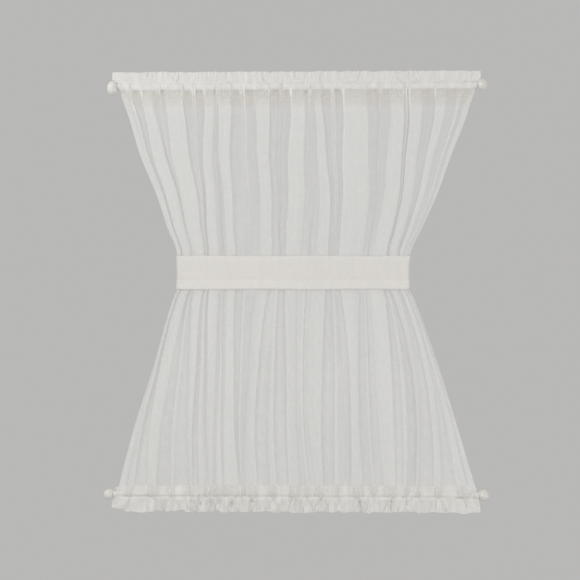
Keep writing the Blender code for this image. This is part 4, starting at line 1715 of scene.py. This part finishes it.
        # Painted shading: the gathers of the ruffle and pocket get a lighter tone on the sides turned to the
        # key light and a darker tan on the sides turned away.
        painted_slope_shade = ruffle * gathers(flat, rise, RUFFLE_RIPPLES, QUARTER_TURN) * self.flat_end(x)
        painted_slope_shade = painted_slope_shade - (1 - ruffle) * gathers(flat, rise, POCKET_RIPPLES, QUARTER_TURN)
        marks = gathers(flat, 3.0 * rise, SEWN_MARKS)
        tone = 0.42 + 0.22 * marks + (0.18 + 0.16 * ruffle) * painted_slope_shade + 0.75 * line
        # The cover is also raised just under the lower rod: a painted lightening of the rod's shaded underside,
        # which shows through the cloth.
        cover = 1.97 + hem + 1.5 * under - 0.16 * painted_slope_shade - 0.55 * line
        return Hand(0.85 + 0.15 * ruffle - 0.75 * valley, np.clip(tone, 0, 1), cover, streak=0.30, sewn=True)

    def edge_density(self) -> np.ndarray:
        """How much denser the cloth is beside the fold edges, where it is rolled over, by column.

        Returns:
            What is added to the cover of each column.
        """
        dense = np.zeros_like(self.drape.flat)
        for number, turns in enumerate(self.drape.turn_points()):
            shares = (0.6 + 0.5 * math.sin(2.3 * number), 0.9 + 0.4 * math.cos(1.7 * number))
            for centre, share in zip(self.drape.flat_controls[list(turns)], shares):
                dense += max(0.15, share) * hump(self.drape.flat, centre, self.edge_roll)
        return dense

    def fullness(self) -> np.ndarray:
        """How much cloth lies in each bit of the front view.

        Returns:
            One value for each vertex, 1 where plain cloth faces the front.
        """
        values, dense = [], self.edge_density()
        flat = self.drape.flat
        for row, slope in zip(self.rows, self.steepness()):
            along = np.gradient(row.points, axis=0)
            length = np.linalg.norm(along, axis=1)
            across = np.maximum(np.abs(along[:, 0]), self.steepest * length)
            z = float(np.median(row.points[:, 2]))
            hand, veil = row.hand, veil_at(z)
            if hand.sewn:
                even, most, slope = (0.08 if z > BAND_MIDDLE else 0.38), self.sewn_most, min(slope, 1.5)
                pinch = dense * self.sewn_pinch
            else:
                even, most = veil.even, 1.12 + 2.05 * veil.edge
                pinch = dense * (veil.edge + self.doubled_pinch * hand.doubled)
            streak = hand.streak * gathers(flat, z, STREAKS) + hand.broad * gathers(flat, z, SWELLS)
            calm = self.layers(row.points[:, 0], length) ** -even
            full = np.clip(length / np.maximum(across, 1e-6), 1.0, most)
            values.append(hand.cover * (full * calm * slope + pinch + streak))
        return np.array(values)

    def tone(self) -> np.ndarray:
        """How far each vertex has the deeper tone of doubled cloth and of painted shade, least where the folds
        lie over each other.

        Returns:
            One value for each vertex.
        """
        values = []
        for row in self.rows:
            length = np.linalg.norm(np.gradient(row.points, axis=0), axis=1)
            lying = np.clip((self.layers(row.points[:, 0], length) - 1.1) / 1.2, 0, 1)
            values.append(row.hand.doubled * (1 - row.hand.lying * lying))
        return np.array(values)

    def steepness(self) -> list:
        """How much more cloth each line holds because it slopes away from the front.

        Returns:
            One value for each line, 1 where it hangs straight down.
        """
        middle = np.array([np.median(row.points, axis=0) for row in self.rows])
        _, back, down = np.abs(np.gradient(middle, axis=0)).T
        return np.clip(np.hypot(back, down) / np.maximum(down, 1e-6), 1.0, self.lean_most).tolist()

    def layers(self, x: np.ndarray, length: np.ndarray) -> np.ndarray:
        """How many layers lie over each other at each column of a line.

        Args:
            x: The columns' places.
            length: The cloth that each column stands for.

        Returns:
            One number for each column, 1 or more.
        """
        bins = np.linspace(x.min() - 0.002, x.max() + 0.002, LAYER_BINS)
        found = np.histogram(x, bins, weights=length)[0] / (bins[1] - bins[0])
        found = np.convolve(np.pad(found, 2, mode="edge"), LAYER_BLUR, mode="valid")
        return np.maximum(1.0, np.interp(x, (bins[1:] + bins[:-1]) / 2, found))

    def build(self) -> bpy.types.Object:
        """Builds and dresses the panel.

        Returns:
            The panel.
        """
        self.lay_rows()
        points = np.array([row.points for row in self.rows])
        rows, columns = points.shape[:2]
        item = new_object("panel_voile", points.reshape(-1, 3), grid_faces(rows, columns))
        even_normals(item.data, points)
        set_uv(item.data, self.drape.flat, self.runs())
        set_attribute(item.data, "gather", self.fullness())
        set_attribute(item.data, "doubled", self.tone())
        set_attribute(item.data, "stiff", np.repeat([row.hand.stiff for row in self.rows], columns))
        item.data.materials.append(self.palette.voile)
        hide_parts("panel")
        return item

    def runs(self) -> np.ndarray:
        """How far each line lies along the cloth."""
        return np.array([row.run for row in self.rows])

    def build_side_hem(self, left: bool) -> bpy.types.Object:
        """A side hem: a strip turned over twice behind the side edge.

        Args:
            left: Whether it is the left one.

        Returns:
            The hem.
        """
        steps = np.linspace(0.0, self.side_hem, 7)
        points = []
        for row in self.rows:
            line = (row.points if left else row.points[::-1])[:60]
            strip = read_along(line, run_along(line), steps)
            points.append(strip if left else strip[::-1])
        points = np.array(points)
        rows, columns = points.shape[:2]
        forward = unit(np.cross(np.gradient(points, axis=1), np.gradient(points, axis=0)))
        points = points - forward * self.hem_lift
        name = "side_hem_left" if left else "side_hem_right"
        item = new_object(name, points.reshape(-1, 3), grid_faces(rows, columns))
        set_uv(item.data, steps, self.runs())
        set_attribute(item.data, "gather", np.full(rows * columns, self.hem_gather))
        item.data.materials.append(self.palette.hem)
        return item


# ---------------------------------------------------------------- sewing


@dataclass(frozen=True)
class Sewing:
    """A row of machine stitches along a line of the cloth."""

    pitch: float = 0.0034
    length: float = 0.0026
    radius: float = 0.00022
    lift: float = 0.00030
    sides: int = 4

    def build(self, name: str, line: np.ndarray, outward: np.ndarray, palette: Palette) -> bpy.types.Object:
        """Builds the stitches as short rounded threads.

        Args:
            name: The piece's name.
            line: The points that the seam follows.
            outward: The direction that the thread stands out in, one row for each point.
            palette: The finishes.

        Returns:
            The seam.
        """
        run = run_along(line)
        shares = np.array([0.0, 0.25, 0.75, 1.0])
        sizes = np.array([0.35, 1.0, 1.0, 0.35])
        lifts = np.array([-0.6, 0.8, 0.8, -0.6])
        vertices, faces = [], []
        for start in np.arange(self.pitch, run[-1] - self.pitch, self.pitch):
            at = start + self.length * shares
            out = read_along(outward, run, at)
            centre = read_along(line, run, at) + out * (self.lift * lifts)[:, None]
            along = unit(centre[-1] - centre[0])
            base = len(vertices)
            for middle, size, normal in zip(centre, sizes, out):
                beside = unit(np.cross(along, normal))
                for side in range(self.sides):
                    angle = 2 * math.pi * side / self.sides
                    ring = math.cos(angle) * beside + math.sin(angle) * normal
                    vertices.append(middle + ring * self.radius * size)
            firsts = range(base, len(vertices), self.sides)
            rings = [tuple(range(first, first + self.sides)) for first in firsts]
            for near, far in zip(rings, rings[1:]):
                for side in range(self.sides):
                    beyond = (side + 1) % self.sides
                    faces.append((near[side], near[beyond], far[beyond], far[side]))
            faces += [tuple(reversed(rings[0])), rings[-1]]
        item = new_object(name, np.array(vertices), faces)
        item.data.materials.append(palette.thread)
        return item


def build_seams(panel: Panel, palette: Palette) -> list:
    """The seams of the pockets and of the side hems.

    Args:
        panel: The panel, already laid.
        palette: The finishes.

    Returns:
        The seams.
    """
    sewing = Sewing()
    sunk = Sewing(radius=0.00013, lift=0.00010)
    lines = []
    for name, tuck, pocket, stitches in (
        ("header", Tuck(HEADER_SEAM, 0.0012, 0.0, 0.0008, 0.0038), UPPER_POCKET, sunk),
        ("pocket", Tuck(POCKET_SEAM, 0.0009, 0.0, 0.0011), UPPER_POCKET, sewing),
        ("foot", Tuck(FOOT_SEAM, 0.0009, 0.0, 0.0018), LOWER_POCKET, sewing),
        ("ruffle", Tuck(RUFFLE_SEAM, 0.0013, 0.0, 0.0020, 0.0055), LOWER_POCKET, sunk),
    ):
        lines.append((name, panel.tucked(tuck, pocket, -1.0), stitches))
    rows = [row for row in panel.rows if row.body]
    inset = panel.side_hem - 0.0015
    for name, place in (("side_left", inset), ("side_right", FLAT_WIDTH - inset)):
        column = int(np.argmin(np.abs(panel.drape.flat - place)))
        lines.append((name, np.array([row.points[column] for row in rows]), sewing))
    forward = (0.0, -1.0, 0.0)
    return [stitches.build(f"seam_{name}", line, np.tile(forward, (len(line), 1)), palette)
            for name, line, stitches in lines]


# ---------------------------------------------------------------- tie band


@dataclass
class TieBand:
    """The flat tie band: a pressed tube of voile round the waist, lapped at the back.

    depth is how far it lies before and behind the rods' plane, and reach how far outside the panel's
    side edges. lap_from and lap_to are the ends of the lap, whose outer end lies lap_lift behind the
    inner one. rim is how much its edges are rounded, press how far the folds behind push it forward,
    least_fold the narrowest that does, and wave how far its edges wander.
    """

    palette: Palette
    drape: Drape
    top: float = -0.3815
    bottom: float = -0.4558
    depth: float = 0.00475
    reach: float = 0.00235
    half_thickness: float = 0.00040
    lap_from: float = 0.020
    lap_to: float = 0.056
    lap_lift: float = 0.0019
    columns: int = 300
    turn_steps: int = 6
    front_steps: int = 30
    face_rows: int = 14
    rim: float = 0.0004
    least_fold: float = 0.010
    press: float = 0.0011
    wave: float = 0.0005

    def path(self, z: float) -> np.ndarray:
        """The middle line of the band at a height, from the inner end of the lap round to the outer end.

        Args:
            z: The height.

        Returns:
            Its points, one for each column of the band.
        """
        left, right = self.drape.edges(z)
        depth = self.depth
        left, right = left - self.reach + depth, right + self.reach - depth
        points = [(self.lap_from, depth), ((self.lap_from + right) / 2, depth)]
        points += self.turned(right, QUARTER_TURN)
        for step in range(1, self.front_steps):
            points.append((right + (left - right) * step / self.front_steps, -depth))
        points += self.turned(left, -QUARTER_TURN)
        points += [((left - self.lap_from) / 2, depth), (-self.lap_from, depth)]
        points += [(x, depth + self.lap_lift) for x in (0.0, self.lap_from, self.lap_to)]
        line = np.array(points)
        run = run_along(line)
        return read_along(line, run, np.linspace(0, run[-1], self.columns))

    def turned(self, x: float, start: float) -> list:
        """Half a turn round one side of the waist, from an angle on."""
        angles = [start - math.pi * step / self.turn_steps for step in range(self.turn_steps + 1)]
        return [(x + self.depth * math.cos(angle), self.depth * math.sin(angle)) for angle in angles]

    def swell(self, x: np.ndarray, y: np.ndarray, z: float) -> np.ndarray:
        """How far the folds behind press the band forward, only along its front.

        Args:
            x: Where across the band.
            y: Which side of it, under zero along the front.
            z: The height.

        Returns:
            One distance for each place.
        """
        down = (z - self.bottom) / (self.top - self.bottom)
        press = np.zeros_like(x)
        for centre, width, _, side in self.drape.folds(LEVEL_Z[Level.WAIST]):
            if abs(width) > self.least_fold:
                press += (0.5 if side < 0 else 0.25) * hump(x, centre, 0.45 * width)
        lean = 0.30 * np.sin(x * 38.0 + 7.0 * down + 1.0) + 0.20 * np.sin(x * 71.0 - 5.0 * down)
        return np.where(y < 0, self.press * (press + lean + 0.5), 0.0)

    def build(self) -> bpy.types.Object:
        """Builds and dresses the band.

        Returns:
            The band.
        """
        half = (self.top - self.bottom) / 2
        middle = (self.top + self.bottom) / 2
        shares = np.linspace(1, -1, self.face_rows)
        ring = [(share * (half - self.rim), 1.0) for share in shares] + [(-half, 0.0)]
        ring += [(share * (half - self.rim), -1.0) for share in shares[::-1]] + [(half, 0.0)]
        points, covers = [], []
        for rise, sign in ring:
            line = self.path(middle + rise)
            along = np.gradient(line, axis=0)
            normal = unit(np.stack([along[:, 1], -along[:, 0]], axis=1))
            outward = np.sign(np.sum(normal * line, axis=1))
            outward[outward == 0] = 1.0
            shifted = line + normal * (outward * sign * self.half_thickness)[:, None]
            y = shifted[:, 1] - self.swell(shifted[:, 0], line[:, 1], middle + rise)
            z = middle + rise + self.wave * np.sin(line[:, 0] * 26.0 + 0.7) * (rise / half)
            points.append(np.stack([shifted[:, 0], ROD_PLANE_Y + y, z], axis=1))
            covers.append(np.full(self.columns, 1.0 + 0.35 * smooth_step(-half + 0.021, -half + 0.017, rise)))
        rows, columns = len(points), self.columns
        faces = grid_faces(rows, columns)
        last = (rows - 1) * columns
        faces += [(last + i, i, i + 1, last + i + 1) for i in range(columns - 1)]
        faces.append(tuple(reversed(range(0, rows * columns, columns))))
        faces.append(tuple(range(columns - 1, rows * columns, columns)))
        item = new_object("tie_band_voile", np.concatenate(points), faces)
        run = run_along(self.path(middle))
        set_uv(item.data, run, np.array([rise for rise, _ in ring]))
        set_attribute(item.data, "gather", np.array(covers))
        item.data.materials.append(self.palette.band)
        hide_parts("tie_band")
        return item


# ---------------------------------------------------------------- hardware


@dataclass
class Hardware:
    """Rods, knobs, brackets and their screws."""

    palette: Palette
    screw_spacing: float = 0.015
    screw_radius: float = 0.0031
    screw_sides: int = 20
    plate_front: float = -0.0020

    def dress_nodes(self) -> None:
        """Gives every hard solid its finish."""
        for name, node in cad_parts.items():
            if name.startswith("finial"):
                finish = self.palette.knob
            elif name.startswith(("rod", "bracket")):
                finish = self.palette.enamel
            else:
                continue
            node.data.materials.clear()
            node.data.materials.append(finish)

    def build_screws(self) -> list:
        """The pan-head screws in the bracket plates.

        Returns:
            The screws of each bracket as one piece.
        """
        made = []
        for name in sorted(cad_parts):
            if not name.startswith("bracket"):
                continue
            low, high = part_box(name)
            plate_x = (low.x + high.x) / 2
            middle = (low.z + high.z) / 2
            shape = bmesh.new()
            for sign in (-1, 1):
                height = middle + sign * self.screw_spacing / 2
                self.screw(shape, Vector((plate_x, self.plate_front, height)))
            mesh = bpy.data.meshes.new(f"screws_{name}")
            shape.to_mesh(mesh)
            shape.free()
            mesh.shade_smooth()
            mesh.set_sharp_from_angle(angle=math.radians(35))
            item = place_object(mesh.name, mesh)
            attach(item, BODY)
            item.data.materials.append(self.palette.steel)
            made.append(item)
        return made

    def screw(self, shape: bmesh.types.BMesh, place: Vector) -> None:
        """Adds one screw: its pan head and a short shank.

        Args:
            shape: The mesh to add to.
            place: Where the head meets the plate.
        """
        profile = (
            (0.55, 0.0015), (0.85, 0.0011), (1.0, 0.0004), (1.0, 0.0), (0.5, 0.0), (0.5, -0.0019),
        )
        sides = self.screw_sides
        rings = []
        for radius, rise in profile:
            ring = []
            for step in range(sides):
                angle = 2 * math.pi * step / sides
                reach = radius * self.screw_radius
                at = (place.x + reach * math.cos(angle), place.y - rise, place.z + reach * math.sin(angle))
                ring.append(shape.verts.new(at))
            rings.append(ring)
        for first, second in zip(rings, rings[1:]):
            for step in range(sides):
                beyond = (step + 1) % sides
                shape.faces.new((first[step], first[beyond], second[beyond], second[step]))
        shape.faces.new(list(reversed(rings[0])))
        shape.faces.new(rings[-1])


# ---------------------------------------------------------------- stage


@dataclass
class Studio:
    """Camera, light, floor and pale surroundings."""

    distance: float = 3.2
    view_width: float = 1.2992
    sensor: float = 36.0
    centre: tuple = (-0.0168, -0.028, -0.4580)
    sky: tuple = (0.485, 0.482, 0.474)
    floor_colour: tuple = (0.62, 0.615, 0.60)
    floor_height: float = -1.95
    floor_radius: float = 3.0

    def build_camera(self) -> None:
        """A camera square to the curtain, at the photograph's framing."""
        data = bpy.data.cameras.new("camera")
        data.sensor_width = self.sensor
        data.lens = self.sensor * self.distance / self.view_width
        camera = place_object("camera", data)
        camera.location = (self.centre[0], self.centre[1] - self.distance, self.centre[2])
        camera.rotation_euler = (math.pi / 2, 0.0, 0.0)
        bpy.context.scene.camera = camera

    def area(self, name: str, place: tuple, size: float, power: float,
             colour: tuple = (1.0, 1.0, 1.0)) -> None:
        """A square soft light aimed at the curtain.

        Args:
            name: The light's name.
            place: Where it stands.
            size: The length of its side.
            power: Its power in watts.
            colour: Its colour.
        """
        data = bpy.data.lights.new(name, "AREA")
        data.shape = "SQUARE"
        data.size = size
        data.energy = power
        data.color = colour
        light = place_object(name, data)
        light.location = place
        aim = Vector(self.centre) - Vector(place)
        light.rotation_euler = aim.to_track_quat("-Z", "Y").to_euler()

    def build(self) -> None:
        """Builds the whole stage."""
        self.build_camera()
        self.area("key", (-2.25, -1.9, 1.0), 1.3, 42.0, (1.0, 0.994, 0.980))
        self.area("fill", (2.3, -1.8, -1.3), 1.8, 24.0, (0.99, 0.995, 1.0))
        self.area("back", (0.7, 2.4, 0.8), 2.0, 10.0)
        world = bpy.data.worlds.new("pale_surroundings")
        world.use_nodes = True
        world.node_tree.nodes["Background"].inputs["Color"].default_value = (*self.sky, 1.0)
        scene = bpy.context.scene
        scene.world = world
        scene.view_settings.view_transform = "Standard"
        scene.cycles.transparent_max_bounces = 48
        self.build_floor()

    def build_floor(self) -> None:
        """A round pale floor, well under the curtain."""
        shape = bmesh.new()
        bmesh.ops.create_circle(shape, cap_ends=True, segments=96, radius=self.floor_radius)
        mesh = bpy.data.meshes.new("floor")
        shape.to_mesh(mesh)
        shape.free()
        material, _, shader = principled("pale_floor")
        set_inputs(shader, {"Base Color": (*self.floor_colour, 1.0), "Roughness": 0.8})
        mesh.materials.append(material)
        floor = place_object("floor", mesh)
        floor.location = (0.0, 0.0, self.floor_height)


def main() -> None:
    """Builds the curtain and its stage, and reports each piece."""
    logging.basicConfig(level=logging.INFO, format="%(message)s")
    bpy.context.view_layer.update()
    Studio().build()
    palette = Palette()
    drape = Drape()
    panel = Panel(palette, drape)
    sheet = panel.build()
    hems = [panel.build_side_hem(True), panel.build_side_hem(False)]
    seams = build_seams(panel, palette)
    band = TieBand(palette, drape).build()
    hardware = Hardware(palette)
    hardware.dress_nodes()
    for piece in (sheet, *hems, *seams, band, *hardware.build_screws()):
        log.info("%s: %d faces", piece.name, len(piece.data.polygons))


if __name__ == "__main__":
    main()
